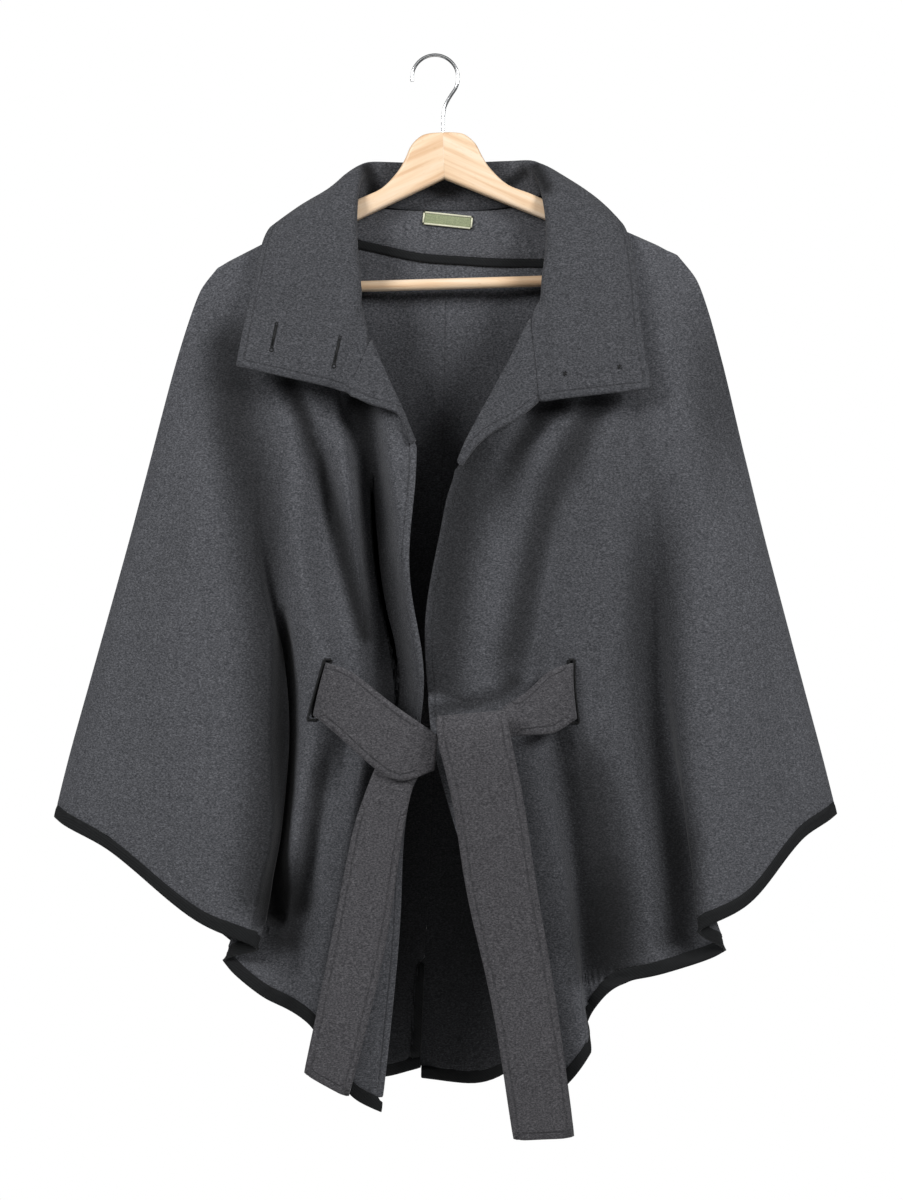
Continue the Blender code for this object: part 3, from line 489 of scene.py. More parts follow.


# the folds of each piece, seen from the front: places along it as (x, z, half width left, half width right),
# how deep it goes, how much painted shade darkens the colour in it, the depth y that it doesn't pass, and the
# share of its length by which it has faded in and the share from which it fades out
deepFolds = {
    "rightFront": [
        {"line": [(-204, -293, 26, 30), (-199, -367, 28, 34), (-184, -416, 26, 30), (-175, -465, 26, 26),
                  (-169, -504, 28, 20), (-164, -543, 28, 14), (-159, -592, 29, 10), (-156, -641, 30, 8),
                  (-155, -700, 30, 8), (-158, -759, 30, 8), (-165, -808, 30, 10), (-173, -866, 24, 12)],
         "deep": 8, "tone": 0.68, "floor": -8, "fade": (0.0, 0.95)},    # the wing turns away from the light
        {"line": [(-152, -533, 4, 5), (-151, -582, 7, 8), (-149, -631, 9, 10), (-148, -680, 11, 10),
                  (-148, -729, 9, 8), (-150, -764, 6, 6), (-155, -793, 6, 8), (-159, -827, 10, 14),
                  (-163, -866, 12, 16)],
         "deep": 36, "tone": 0.8, "floor": -2, "fade": (0.15, 0.97)},    # the gap beside the wing
        {"line": [(-145, -322, 11, 9), (-136, -347, 10, 10), (-124, -376, 11, 7), (-114, -406, 10, 8),
                  (-106, -435, 9, 9), (-98, -465, 9, 11), (-91, -499, 8, 13), (-83, -533, 7, 14),
                  (-75, -563, 7, 13), (-67, -592, 7, 8)],
         "deep": 13, "tone": 0.8, "floor": -8, "fade": (0.0, 0.95)},    # crease from under the collar
        {"line": [(-110, -332, 8, 8), (-102, -376, 8, 8), (-92, -416, 8, 8), (-86, -455, 7, 7),
                  (-80, -489, 6, 6)],
         "deep": -4, "tone": 0, "floor": 0, "fade": (0.1, 0.7)},    # ridge between the two creases
        {"line": [(-79, -313, 11, 11), (-77, -347, 12, 12), (-71, -376, 13, 12), (-65, -406, 13, 11),
                  (-60, -435, 13, 12), (-57, -465, 15, 14), (-55, -494, 15, 13), (-51, -523, 16, 14),
                  (-48, -553, 17, 15), (-46, -577, 18, 16), (-44, -602, 21, 18), (-37, -670, 24, 20)],
         "deep": 95, "tone": 0.45, "floor": -10, "fade": (0.0, 0.99)},    # the deep black fold
        {"line": [(-79, -313, 12, 12), (-76, -347, 13, 13), (-70, -376, 14, 13), (-64, -406, 14, 12),
                  (-60, -435, 15, 13), (-57, -465, 17, 15), (-54, -494, 17, 14), (-50, -523, 18, 15),
                  (-47, -553, 20, 17), (-44, -582, 22, 19), (-41, -621, 24, 21), (-37, -670, 24, 21)],
         "deep": 8, "tone": 0.62, "floor": -12, "fade": (0.0, 0.99)},    # its shade, on down to the belt
        {"line": [(-107, -675, 13, 12), (-110, -714, 12, 11), (-116, -749, 9, 8), (-121, -778, 8, 7),
                  (-124, -808, 10, 8), (-128, -837, 13, 10), (-132, -862, 14, 10)],
         "deep": 9, "tone": 0.6, "floor": -8, "fade": (0.2, 0.9)},    # hollow towards the belt's hanging end
        {"line": [(-140, -773, 8, 9), (-142, -808, 14, 16), (-144, -837, 20, 22), (-148, -866, 24, 26),
                  (-152, -901, 20, 22)],
         "deep": 5, "tone": 0.82, "floor": -6, "fade": (0.4, 0.85)},    # its foot behind the wing
    ],
    "leftFront": [
        {"line": [(119, -347, 14, 14), (104, -359, 13, 13), (93, -378, 12, 12), (83, -398, 13, 12),
                  (72, -423, 16, 14), (62, -450, 18, 16), (52, -479, 20, 16), (44, -514, 20, 16)],
         "deep": 14, "tone": 0.72, "floor": -6, "fade": (0.0, 0.4)},    # pocket under the collar
        {"line": [(35, -396, 26, 24), (27, -445, 28, 28), (19, -494, 28, 28), (13, -543, 28, 28),
                  (9, -592, 28, 28), (5, -641, 28, 28)],
         "deep": 3, "tone": 0.68, "floor": -12, "fade": (0.0, 0.99)},    # the edge rolls in
        {"line": [(162, -345, 18, 16), (147, -376, 16, 14), (136, -401, 16, 14), (120, -429, 18, 16),
                  (110, -457, 17, 14), (101, -486, 16, 12), (94, -516, 16, 13), (88, -545, 17, 14),
                  (82, -577, 18, 15), (75, -612, 20, 16), (68, -646, 20, 16)],
         "deep": 11, "tone": 0.62, "floor": -10, "fade": (0.0, 0.85)},    # slanting crease to the knot
        {"line": [(235, -376, 26, 28), (225, -445, 26, 26), (220, -494, 26, 26), (216, -553, 26, 28),
                  (216, -602, 26, 28), (219, -651, 24, 26), (224, -700, 24, 24), (231, -749, 24, 22),
                  (237, -788, 24, 20), (241, -827, 26, 18), (244, -886, 26, 16)],
         "deep": 10, "tone": 0.54, "floor": -8, "fade": (0.3, 0.99)},    # long hollow beside the wing
        {"line": [(237, -710, 16, 16), (240, -749, 17, 17), (244, -788, 19, 18), (245, -837, 20, 18),
                  (246, -896, 20, 16)],
         "deep": 4, "tone": 0.5, "floor": -6, "fade": (0.5, 0.99)},    # darker foot of the long hollow
        {"line": [(133, -675, 22, 22), (140, -705, 24, 26), (150, -739, 26, 30), (158, -773, 28, 32),
                  (164, -808, 32, 32), (168, -837, 36, 32), (170, -866, 40, 32), (172, -920, 40, 32)],
         "deep": 11, "tone": 0.66, "floor": -10, "fade": (0.2, 0.99)},    # hollow under the slit
        {"line": [(168, -778, 22, 20), (174, -817, 26, 22), (174, -857, 30, 26), (174, -910, 30, 26)],
         "deep": 4, "tone": 0.55, "floor": -8, "fade": (0.6, 0.99)},    # darker foot under the slit
        {"line": [(162, -347, 90, 70), (166, -465, 90, 75), (162, -582, 90, 75), (162, -700, 80, 80),
                  (162, -896, 80, 80)],
         "deep": 3, "tone": 0.2, "floor": -14, "fade": (0.1, 0.99)},    # broad shade over the breast
        {"line": [(272, -200, 26, 26), (278, -259, 30, 28), (280, -318, 32, 30), (282, -376, 32, 30),
                  (278, -425, 30, 30), (260, -484, 26, 26)],
         "deep": 2, "tone": 0.4, "floor": 6, "fade": (0.4, 0.5)},    # shade down from the shoulder
        {"line": [(1, -653, 8, 8), (35, -645, 9, 9), (64, -636, 9, 9), (88, -617, 9, 9)],
         "deep": 2, "tone": 0.6, "floor": -12, "fade": (0.0, 0.9)},    # shade above the half knot
    ],
}
# painted shade on the backs' inner side, as (z, tone) downwards, and painted shade over whole pieces
paintedInsideShade = [(-250, 0.0), (-290, 0.26), (-360, 0.38), (-430, 0.42), (-640, 0.54), (-900, 0.74), (-1030, 0.6)]
paintedPieceShade = {"turnedCollar": 0.27, "rightTurn": 0.27, "leftTurn": 0.27, "rightFront": 0.05}
# soft moves in the plane of the front: where, how wide, how far, and the only panel moved, if one
nudges = [
    {"at": (-16, -519), "wide": (34, 84), "move": (-16, 0), "only": "rightFront"},
    {"at": (0, -556), "wide": (40, 90), "move": (-9, 0), "only": "leftFront"},
    {"at": (22, -418), "wide": (20, 20), "move": (6, 0), "only": "leftFront"},
    {"at": (-146, -750), "wide": (30, 115), "move": (-9, 0), "only": "rightFront"},
    {"at": (-112, -640), "wide": (60, 60), "move": (0, 12)},
    {"at": (143, -630), "wide": (45, 60), "move": (-9, 10)},
    {"at": (20, -680), "wide": (60, 50), "move": (-5, 4)},
    {"at": (-25, -760), "wide": (45, 70), "move": (-8, 0)},
    {"at": (35, -810), "wide": (60, 110), "move": (-7, 0)},
    {"at": (-28, -380), "wide": (14, 14), "move": (2, -8), "only": "rightTurn"},
    {"at": (20, -408), "wide": (16, 16), "move": (1, -4), "only": "leftTurn"},
    {"at": (-84, -336), "wide": (9, 9), "move": (3, -3), "only": "turnedCollar"},
    {"at": (-80, -336), "wide": (9, 9), "move": (-4, -2), "only": "rightTurn"},
]


def foldShare(fold, x, z):
    # a fold's strength at a point: flat across its floor, steep at its sides, faded at its ends
    best = 0
    line = fold["line"]
    count = len(line) - 1
    for place in range(count):
        (x0, z0, left0, right0), (x1, z1, left1, right1) = line[place], line[place + 1]
        if abs(z - (z0 + z1) / 2) > abs(z1 - z0) / 2 + 110:
            continue
        dx, dz = x1 - x0, z1 - z0
        share = min(1, max(0, ((x - x0) * dx + (z - z0) * dz) / (dx * dx + dz * dz)))
        middle = x0 + share * dx
        half = left0 + share * (left1 - left0) if x < middle else right0 + share * (right1 - right0)
        off = math.hypot(x - middle, z - z0 - share * dz) / half
        if off < 2:
            run = (place + share) / count
            start, end = fold["fade"]
            ends = (ease(run, 0, start) if start else 1) * ease(run, 1, end)
            best = max(best, math.exp(-off ** 2.5) * ends)
    return best


def nudged(x, y, z, panel):
    for nudge in nudges:
        if nudge.get("only", panel) == panel:
            (atX, atZ), (wideX, wideZ), (moveX, moveZ) = nudge["at"], nudge["wide"], nudge["move"]
            strength = math.exp(-((x - atX) / wideX) ** 2 - ((z - atZ) / wideZ) ** 2)
            strength *= ease(y, *holds["nudgeDepth"])
            x += moveX * strength
            z += moveZ * strength
    return x, z


def paintedShadeAt(point, panel, inside):
    # how much painted shade darkens the colour at a point: over whole pieces, in the folds, and on the backs'
    # inner side
    x, y, z = (value / mm for value in point)
    if y < 0:
        x, z = nudged(x, y, z, panel)
    light = 1 - paintedPieceShade.get(panel, 0)
    for fold in deepFolds.get(panel, []):
        light *= 1 - fold["tone"] * foldShare(fold, x, z)
    if inside and panel in ("rightBack", "leftBack"):
        for (z0, tone0), (z1, tone1) in zip(paintedInsideShade, paintedInsideShade[1:]):
            if z1 <= z < z0:
                light *= 1 - tone0 - (tone1 - tone0) * (z0 - z) / (z0 - z1)
    return 1 - light


def soften(point, panel=""):
    # the moved place of a point of cloth, by its side's soft creases and its panel's folds
    x, y, z = (value / mm for value in point)
    move = 0
    if y < 0:
        x, z = nudged(x, y, z, panel)
        held = ease(y, *holds["frontDepth"]) * ease(z, *holds["frontHeight"])
        move = -softRise(x, z, frontCreases, drift["frontRise"]) * held if held else 0
    else:
        held = ease(y, *holds["backDepth"]) * ease(z, *holds["backHeight"])
        move = softRise(x, z, backCreases, drift["backRise"]) * held if held else 0
    sunk = 0
    for fold in deepFolds.get(panel, []):
        step = fold["deep"] * foldShare(fold, x, z)
        room = max(0.01, fold["floor"] - y - move)
        if step < 0:
            move += step
        else:
            sunk = max(sunk, room * (1 - math.exp(-step / room)))
    return Vector((x, y + move + sunk, z)) * mm


def surfaceOf(piece):
    mesh = piece.data
    return BVHTree.FromPolygons([v.co for v in mesh.vertices], [tuple(p.vertices) for p in mesh.polygons])


def closeSeam(one, other, reach):
    # draws two edges together where their solids stand a little apart
    surfaces = {one: surfaceOf(one), other: surfaceOf(other)}
    for piece, opposite in ((one, other), (other, one)):
        for vertex in piece.data.vertices:
            spot, normal, face, gap = surfaces[opposite].find_nearest(vertex.co, reach * mm)
            if spot:
                vertex.co += (spot - vertex.co) * 0.5 * (1 - ease(gap / mm, reach * 0.5, reach))
        piece.data.update()


clothPieces = {}


def keepCorners(cloth, parts):
    # a corner of the outline stays a corner under the smoothing
    corner = cloth.verts.layers.float["crease_vert"]
    meeting = {}
    for part in parts:
        for vert in part["edge"].verts:
            meeting.setdefault(vert, []).append(part["edge"].other_vert(vert).co - vert.co)
    for vert, ways in meeting.items():
        if len(ways) == 2 and math.pi - ways[0].angle(ways[1]) > math.radians(38):
            vert[corner] = 0.9


def makeCloth(name, node, look, thick, levels=2, stitched=None, crease=0.6):
    # a thin shell on its solid's form, smoothed, creased and with its edge distance stored
    cloth = mergedCopy(node)
    sharpness = cloth.edges.layers.float.new("crease_edge")
    cloth.verts.layers.float.new("crease_vert")
    rims = findRims(cloth, thick * mm)
    parts = borderPaths(cloth, rims)
    for part in parts:
        part["edge"][sharpness] = crease
    keepCorners(cloth, parts)
    for part in parts:
        del part["edge"]
    mesh = smoothWall(name, cloth, levels)
    chosen = [part for part in parts if stitched and stitched(part["a"] / mm) and stitched(part["b"] / mm)]
    lookup = KDTree(max(1, sum(int((p["b"] - p["a"]).length / mm) + 2 for p in chosen)))
    for part in chosen:
        steps = int((part["b"] - part["a"]).length / mm) + 1
        for step in range(steps + 1):
            lookup.insert(part["a"].lerp(part["b"], step / steps), 0)
    lookup.balance()
    distances = [0.1] * len(mesh.vertices)
    if chosen:
        distances = [lookup.find(vertex.co)[2] for vertex in mesh.vertices]
    layer = mesh.attributes.new("edgeDistance", "FLOAT", "POINT")
    layer.data.foreach_set("value", distances)
    panel = name.replace("Binding", "")
    # painted shade, stored per point for the wool's colour
    paintedShades = [paintedShadeAt(vertex.co, panel, vertex.normal.y < -0.2) for vertex in mesh.vertices]
    mesh.attributes.new("hollow", "FLOAT", "POINT").data.foreach_set("value", paintedShades)
    for vertex in mesh.vertices:
        vertex.co = soften(vertex.co, panel)
    mesh.update()
    piece = addPiece(name, mesh, look, [node])
    clothPieces[name] = {"piece": piece, "parts": chosen, "lookup": lookup, "all": parts}
    return piece


# wall thicknesses, and how sharp the edges of the belt and the binding stay
clothValues = {
    "panelWall": 2.2, "doubledWall": 3.6, "facingWall": 1.4, "tapeWall": 3.0, "facingTapeWall": 1.9,
    "sharp": 0.9,
}
seamReach = {"panels": 3.0, "turnToCollar": 5, "turnToFront": 2.4, "ventToHem": 6}
ventLap = {"from": 8, "to": -8, "top": -880, "run": 30, "over": 6, "behind": 2.4}
# where the topstitching shows
panelStitching = {
    "rightFront": lambda p: p.x > -62 and p.z < -383 and p.y < -30,
    "leftFront": lambda p: p.x < 101 and p.z < -400 and p.y < -25,
}


def makePanel(name, node, levels=2):
    return makeCloth(name, node, wool, clothValues["panelWall"], levels, panelStitching.get(name))


rightFront = makePanel("rightFront", "front_right", 3)
leftFront = makePanel("leftFront", "front_left", 3)
rightBack = makePanel("rightBack", "back_right")
leftBack = makePanel("leftBack", "back_left")
for vertex in leftBack.data.vertices:      # the left half laps behind the vent's bound edge
    x, z = vertex.co.x / mm, vertex.co.z / mm
    lap = ease(x, ventLap["from"], ventLap["to"]) * ease(z, ventLap["top"], ventLap["top"] - ventLap["run"])
    vertex.co += Vector((-ventLap["over"], ventLap["behind"], 0)) * lap * mm
for pair in ((rightFront, rightBack), (leftFront, leftBack), (rightBack, leftBack)):
    closeSeam(*pair, seamReach["panels"])
print("panels made")


def besideLine(line, reach):
    # tells whether a point lies beside a line of (x, z) places
    def test(p):
        for (x0, z0), (x1, z1) in zip(line, line[1:]):
            dx, dz = x1 - x0, z1 - z0
            share = min(1, max(0, ((p.x - x0) * dx + (p.z - z0) * dz) / (dx * dx + dz * dz)))
            if math.hypot(p.x - x0 - share * dx, p.z - z0 - share * dz) < reach:
                return True
        return False
    return test


collarValues = {
    "sewnReach": 7,
    "rightFree": [(-88, -340), (-76, -347), (-34, -358), (-18, -386)],
    "leftFree": [(102, -350), (80, -367), (64, -372), (40, -390), (20, -411)],
    # the collar's small folds, each with painted shade darkening the colour in it
    "folds": [
        {"line": [(-72, -104, 6, 7), (-66, -117, 6, 7), (-64, -139, 6, 7), (-60, -150, 6, 6)],
         "deep": 5, "tone": 0.8, "floor": 60, "fade": (0.1, 0.7)},
        {"line": [(66, -126, 6, 6), (78, -121, 6, 6), (95, -112, 6, 6)],
         "deep": 5, "tone": 0.7, "floor": 60, "fade": (0.2, 0.9)},
        {"line": [(99, -104, 6, 6), (104, -117, 6, 7), (110, -132, 6, 7), (112, -146, 6, 6)],
         "deep": 5, "tone": 0.8, "floor": 60, "fade": (0.1, 0.7)},
    ],
}
deepFolds["turnedCollar"] = collarValues["folds"]
collar = makeCloth(
    "turnedCollar", "collar", wool, clothValues["doubledWall"], 2,
    lambda p: p.x < -90 or (p.x > 106 and p.z < -300) or (p.x > 122 and p.z < -150) or p.x > 150 or p.y > 21)
rightTurn = makeCloth("rightTurn", "front_right_turn", wool, clothValues["doubledWall"], 2,
                      besideLine(collarValues["rightFree"], collarValues["sewnReach"]))
leftTurn = makeCloth("leftTurn", "front_left_turn", wool, clothValues["doubledWall"], 2,
                     besideLine(collarValues["leftFree"], collarValues["sewnReach"]))
for turn, front in ((rightTurn, rightFront), (leftTurn, leftFront)):
    closeSeam(turn, collar, seamReach["turnToCollar"])
    closeSeam(turn, front, seamReach["turnToFront"])
neckFacing = makeCloth("neckFacing", "neck_facing", wool, clothValues["facingWall"])
facingReach = [(-40, -72, -12), (60, 97, 20)]     # each end's stretch in x, and how far its tip is drawn out


def reachBehindCollar(piece):
    for vertex in piece.data.vertices:
        for start, end, reach in facingReach:
            vertex.co.x += ease(vertex.co.x / mm, start, end) * reach * mm
    piece.data.update()


reachBehindCollar(neckFacing)
print("collar made")


def makeBelt(name, node, stitched):
    return makeCloth(name, node, beltWool, clothValues["doubledWall"], 2, stitched,
                     clothValues["sharp"])


beltRightFront = makeBelt("beltRightFront", "belt_front_right", lambda p: -112 < p.x < -6)
beltLeftFront = makeBelt("beltLeftFront", "belt_front_left", lambda p: 76 < p.x < 139)
beltRightEnd = makeBelt("beltRightEnd", "belt_end_right", lambda p: p.z < -745)
beltLeftEnd = makeBelt("beltLeftEnd", "belt_end_left", lambda p: p.z < -658)
beltBack = makeBelt("beltBack", "belt_back", lambda p: abs(p.x - 13) < 126)
print("belt made")


bindingLap = {"reach": 2.6, "lap": 2.6, "proud": 1.1}


def lapOver(binding, panel):
    # the binding folds over the cloth's edge, so its upper border laps onto the panel's two skins
    surface = surfaceOf(panel)
    for vertex in binding.data.vertices:
        spot, normal, face, gap = surface.find_nearest(vertex.co, bindingLap["reach"] * mm)
        if not spot or gap < 0.05 * mm:
            continue
        place = vertex.co + (spot - vertex.co).normalized() * bindingLap["lap"] * mm
        skin, outward, face, gap = surface.find_nearest(place)
        if vertex.normal.dot(outward) > 0.4:
            place = skin + outward * bindingLap["proud"] * mm
        vertex.co = place
    binding.data.update()


tapes = {}
for name, node, panel in (
    ("rightFrontBinding", "front_right_hem_tape", "rightFront"),
    ("leftFrontBinding", "front_left_hem_tape", "leftFront"),
    ("rightBackBinding", "back_right_hem_tape", "rightBack"),
    ("leftBackBinding", "back_left_hem_tape", "leftBack"),
    ("ventBinding", "back_vent_tape", "rightBack"),
    ("facingBinding", "neck_facing_tape", "neckFacing"),
):
    thick = clothValues["facingTapeWall" if name == "facingBinding" else "tapeWall"]
    tapes[name] = makeCloth(name, node, tape, thick, 2, None, clothValues["sharp"])
    if name == "facingBinding":
        reachBehindCollar(tapes[name])
    else:
        lapOver(tapes[name], clothPieces[panel]["piece"])
closeSeam(tapes["ventBinding"], tapes["rightBackBinding"], seamReach["ventToHem"])
for pair in (("rightFrontBinding", "rightBackBinding"), ("leftFrontBinding", "leftBackBinding"),
             ("rightBackBinding", "leftBackBinding")):
    closeSeam(tapes[pair[0]], tapes[pair[1]], seamReach["panels"])
print("bindings made")


hangerValues = {
    "headX": 8, "headZ": -76, "tilt": 1.7, "halfThick": 6.5, "reach": 213, "slope": 0.475,
    "lowMiddle": 46, "lowSlope": 0.44, "lobeBottom": 165, "barSeat": 186, "barDrop": 151, "barRadius": 5.5,
    "rounding": 3.4, "barRounding": 0.8, "sharp": 35, "wire": 1.7, "bend": 23, "crown": 1.9,
    "shank": [(14, 0, -41.5), (10.2, 0, -49), (8.4, 0, -57), (8, 0, -64), (8, 0, -78)],
    "top": [(0, 0), (12, -0.4), (22, -3), (32, -12), (39, -26), (47, -38.5), (63, -54), (84, -63), (99, -70)],
}


def catmull(points, steps):
    # an even curve through points
    points = [Vector(point) for point in points]
    out = []
    for place in range(len(points) - 1):
        p1, p2 = points[place], points[place + 1]
        p0 = points[place - 1] if place else p1 * 2 - p2
        p3 = points[place + 2] if place + 2 < len(points) else p2 * 2 - p1
        for step in range(steps):
            t = step / steps
            out.append(0.5 * ((2 * p1) + (p2 - p0) * t + (2 * p0 - 5 * p1 + 4 * p2 - p3) * t * t
                              + (3 * p1 - p0 - 3 * p2 + p3) * t ** 3))
    return out + [points[-1]]


def makeArm(name, node, side, look):
    v = hangerValues
    end = v["top"][-1][1] - (v["reach"] - v["top"][-1][0]) * v["slope"]
    low = -v["lowMiddle"] - (v["barSeat"] - 14) * v["lowSlope"]
    upper = [(x, 0, z) for x, z in v["top"]] + [(150, 0, end + (v["reach"] - 150) * v["slope"])]
    outline = catmull(upper, 4)
    reach, seat, bottom = v["reach"], v["barSeat"], -v["lobeBottom"]
    outline += catmull([(reach - 8, 0, end + 3.6), (reach - 1, 0, end - 5), (reach, 0, end - 16),
                        (reach, 0, bottom + 10), (reach - 7, 0, bottom),
                        (seat + 4, 0, bottom), (seat, 0, bottom + 6)], 3)
    outline += catmull([(seat, 0, low - 10), (seat - 14, 0, low),
                        (90, 0, -v["lowMiddle"] - 90 * v["lowSlope"])], 3)
    outline.append(Vector((0.05, 0, -v["lowMiddle"])))
    outline[0].x = 0.05
    arm = bmesh.new()
    corners = [arm.verts.new((side * p.x * mm, -v["halfThick"] * mm, p.z * mm)) for p in outline]
    front = arm.faces.new(corners)
    grown = bmesh.ops.extrude_face_region(arm, geom=[front])
    moved = [item for item in grown["geom"] if isinstance(item, bmesh.types.BMVert)]
    bmesh.ops.translate(arm, verts=moved, vec=(0, 2 * v["halfThick"] * mm, 0))
    bmesh.ops.recalc_face_normals(arm, faces=arm.faces)
    rim = [edge for edge in arm.edges
           if abs(edge.verts[0].co.y - edge.verts[1].co.y) < mm * 0.1
           and not all(abs(vert.co.x) < 0.2 * mm for vert in edge.verts)]
    bmesh.ops.bevel(arm, geom=rim, offset=v["rounding"] * mm, segments=4, affect="EDGES", profile=0.5,
                    material=-1)
    bmesh.ops.triangulate(arm, faces=[face for face in arm.faces if len(face.verts) > 4])
    turn = Matrix.Rotation(math.radians(-v["tilt"]), 4, "Y")
    place = Matrix.Translation((v["headX"] * mm, 0, v["headZ"] * mm))
    bmesh.ops.transform(arm, matrix=place @ turn, verts=arm.verts)
    piece = addPiece(name, meshFrom(arm, name), look, [node])
    piece.data.set_sharp_from_angle(angle=math.radians(v["sharp"]))
    return piece


rightArm = makeArm("rightArm", "hanger_arm_right", -1, beechRight)
leftArm = makeArm("leftArm", "hanger_arm_left", 1, beechLeft)


def makeBar():
    v = hangerValues
    bar = bmesh.new()
    length = 2 * (v["barSeat"] - 0.3) * mm
    radius = v["barRadius"] * mm
    bmesh.ops.create_cone(bar, cap_ends=True, segments=40, radius1=radius, radius2=radius, depth=length)
    ends = [edge for edge in bar.edges if abs(edge.verts[0].co.z - edge.verts[1].co.z) < mm * 0.1]
    bmesh.ops.bevel(bar, geom=ends, offset=v["barRounding"] * mm, segments=2, affect="EDGES", profile=0.5,
                    material=-1)
    tilt = math.radians(v["tilt"])
    centre = Vector((v["headX"], 0, v["headZ"])) + Vector((math.sin(tilt), 0, -math.cos(tilt))) * v["barDrop"]
    turn = Matrix.Rotation(math.radians(90) - tilt, 4, "Y")
    bmesh.ops.transform(bar, matrix=Matrix.Translation(centre * mm) @ turn, verts=bar.verts)
    piece = addPiece("hangerBar", meshFrom(bar, "hangerBar"), beechBar, ["hanger_bar"])
    piece.data.set_sharp_from_angle(angle=math.radians(v["sharp"]))
    return piece


hangerBar = makeBar()


def tubeMesh(name, points, radius, sides):
    line = bpy.data.curves.new(name, "CURVE")
    line.dimensions = "3D"
    line.bevel_depth = radius * mm
    line.bevel_resolution = sides
    line.use_fill_caps = True
    spline = line.splines.new("POLY")
    spline.points.add(len(points) - 1)
    for knot, place in zip(spline.points, points):
        knot.co = (*(Vector(place) * mm), 1)
    holder = bpy.data.objects.new(name, line)
    bpy.context.scene.collection.objects.link(holder)
    mesh = bpy.data.meshes.new_from_object(holder.evaluated_get(bpy.context.evaluated_depsgraph_get()))
    bpy.data.objects.remove(holder)
    mesh.name = name
    return mesh


def makeHook():
    v = hangerValues
    centre = v["crown"] - v["bend"]
    route = []
    for degrees in range(188, -41, -12):
        angle = math.radians(degrees)
        route.append((v["bend"] * math.cos(angle), 0, centre + v["bend"] * math.sin(angle)))
    wire = tubeMesh("wireHook", catmull(route + v["shank"], 4), v["wire"], 5)
    return addPiece("wireHook", wire, chrome, ["hanger_hook"])


wireHook = makeHook()
print("hanger made")


labelValues = {"at": (12.6, -161.5), "size": (50, 13), "thick": 0.8, "turn": 6, "border": 1.6}


def makeLabel():
    v = labelValues
    low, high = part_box("label")
    middle = (low.y + high.y) / 2
    cloth = bmesh.new()
    bmesh.ops.create_grid(cloth, x_segments=16, y_segments=4, size=0.5)
    bmesh.ops.scale(cloth, vec=(v["size"][0] * mm, v["size"][1] * mm, 1), verts=cloth.verts)
    upright = Matrix.Rotation(math.radians(90), 3, "X")
    bmesh.ops.rotate(cloth, cent=(0, 0, 0), matrix=upright, verts=cloth.verts)
    bmesh.ops.solidify(cloth, geom=cloth.faces, thickness=v["thick"] * mm)
    bmesh.ops.recalc_face_normals(cloth, faces=cloth.faces)
    turn = Matrix.Rotation(math.radians(v["turn"]), 4, "Y")
    place = Matrix.Translation((v["at"][0] * mm, middle, v["at"][1] * mm)) @ turn
    bmesh.ops.transform(cloth, matrix=place, verts=cloth.verts)
    label = addPiece("neckLabel", meshFrom(cloth, "neckLabel"), labelCloth, ["label"])
    rim = bmesh.new()
    halfX, halfZ = v["size"][0] / 2, v["size"][1] / 2
    for sx, sz, wide, tall in ((0, 1, 2 * halfX, v["border"]), (0, -1, 2 * halfX, v["border"]),
                               (1, 0, v["border"], 2 * halfZ), (-1, 0, v["border"], 2 * halfZ)):
        at = Vector((sx * (halfX - v["border"] / 2), -0.25, sz * (halfZ - v["border"] / 2))) * mm
        shape = Matrix.Translation(at) @ Matrix.Diagonal((wide * mm, 1.1 * v["thick"] * mm, tall * mm, 1))
        bmesh.ops.create_cube(rim, size=1, matrix=place @ shape)
    edge = addPiece("neckLabelEdge", meshFrom(rim, "neckLabelEdge"), labelEdge)
    return label, edge


neckLabel, neckLabelEdge = makeLabel()

buttonValues = {"radius": 10, "thick": 3.5, "lean": 86, "sharp": 40, "spots": [
    ("innerButton", "button_1", (127, -50.2, -323)), ("outerButton", "button_2", (180, -49.4, -316))]}


def makeButton(name, node, spot):
    v = buttonValues
    button = bmesh.new()
    half = v["thick"] / 2
    profile = [(0, -half + 0.9), (v["radius"] * 0.55, -half + 0.9), (v["radius"] * 0.72, -half + 0.1),
               (v["radius"] * 0.9, -half), (v["radius"], -half + 0.8), (v["radius"], half - 0.7),
               (v["radius"] * 0.92, half), (0, half)]
    line = [button.verts.new((x * mm, 0, z * mm)) for x, z in profile]
    edges = [button.edges.new((a, b)) for a, b in zip(line, line[1:])]
    bmesh.ops.spin(button, geom=line + edges, cent=(0, 0, 0), axis=(0, 0, 1), angle=math.tau, steps=32,
                   use_merge=True)
    bmesh.ops.remove_doubles(button, verts=button.verts, dist=0.01 * mm)
    bmesh.ops.recalc_face_normals(button, faces=button.faces)
    turn = Matrix.Rotation(math.radians(v["lean"]), 4, "X")
    bmesh.ops.transform(button, matrix=Matrix.Translation(Vector(spot) * mm) @ turn, verts=button.verts)
    piece = addPiece(name, meshFrom(button, name), horn, [node])
    piece.data.set_sharp_from_angle(angle=math.radians(v["sharp"]))
    return piece


buttons = [makeButton(*spot) for spot in buttonValues["spots"]]
print("label and buttons made")


# size is length, width and height; clear is how near another border a stitch may lie, as a share of
# its inset
stitchValues = {"pitch": 3.8, "size": (2.6, 0.7, 0.4), "clear": 0.86}


def addStitch(work, spot, along, normal, size):
    across = normal.cross(along).normalized()
    along = across.cross(normal).normalized()
    turn = Matrix((along, across, normal)).transposed().to_4x4()
    shape = Matrix.Diagonal((*(part * mm / 2 for part in size), 1))
    bmesh.ops.create_icosphere(work, subdivisions=1, radius=1, matrix=Matrix.Translation(spot) @ turn @ shape)


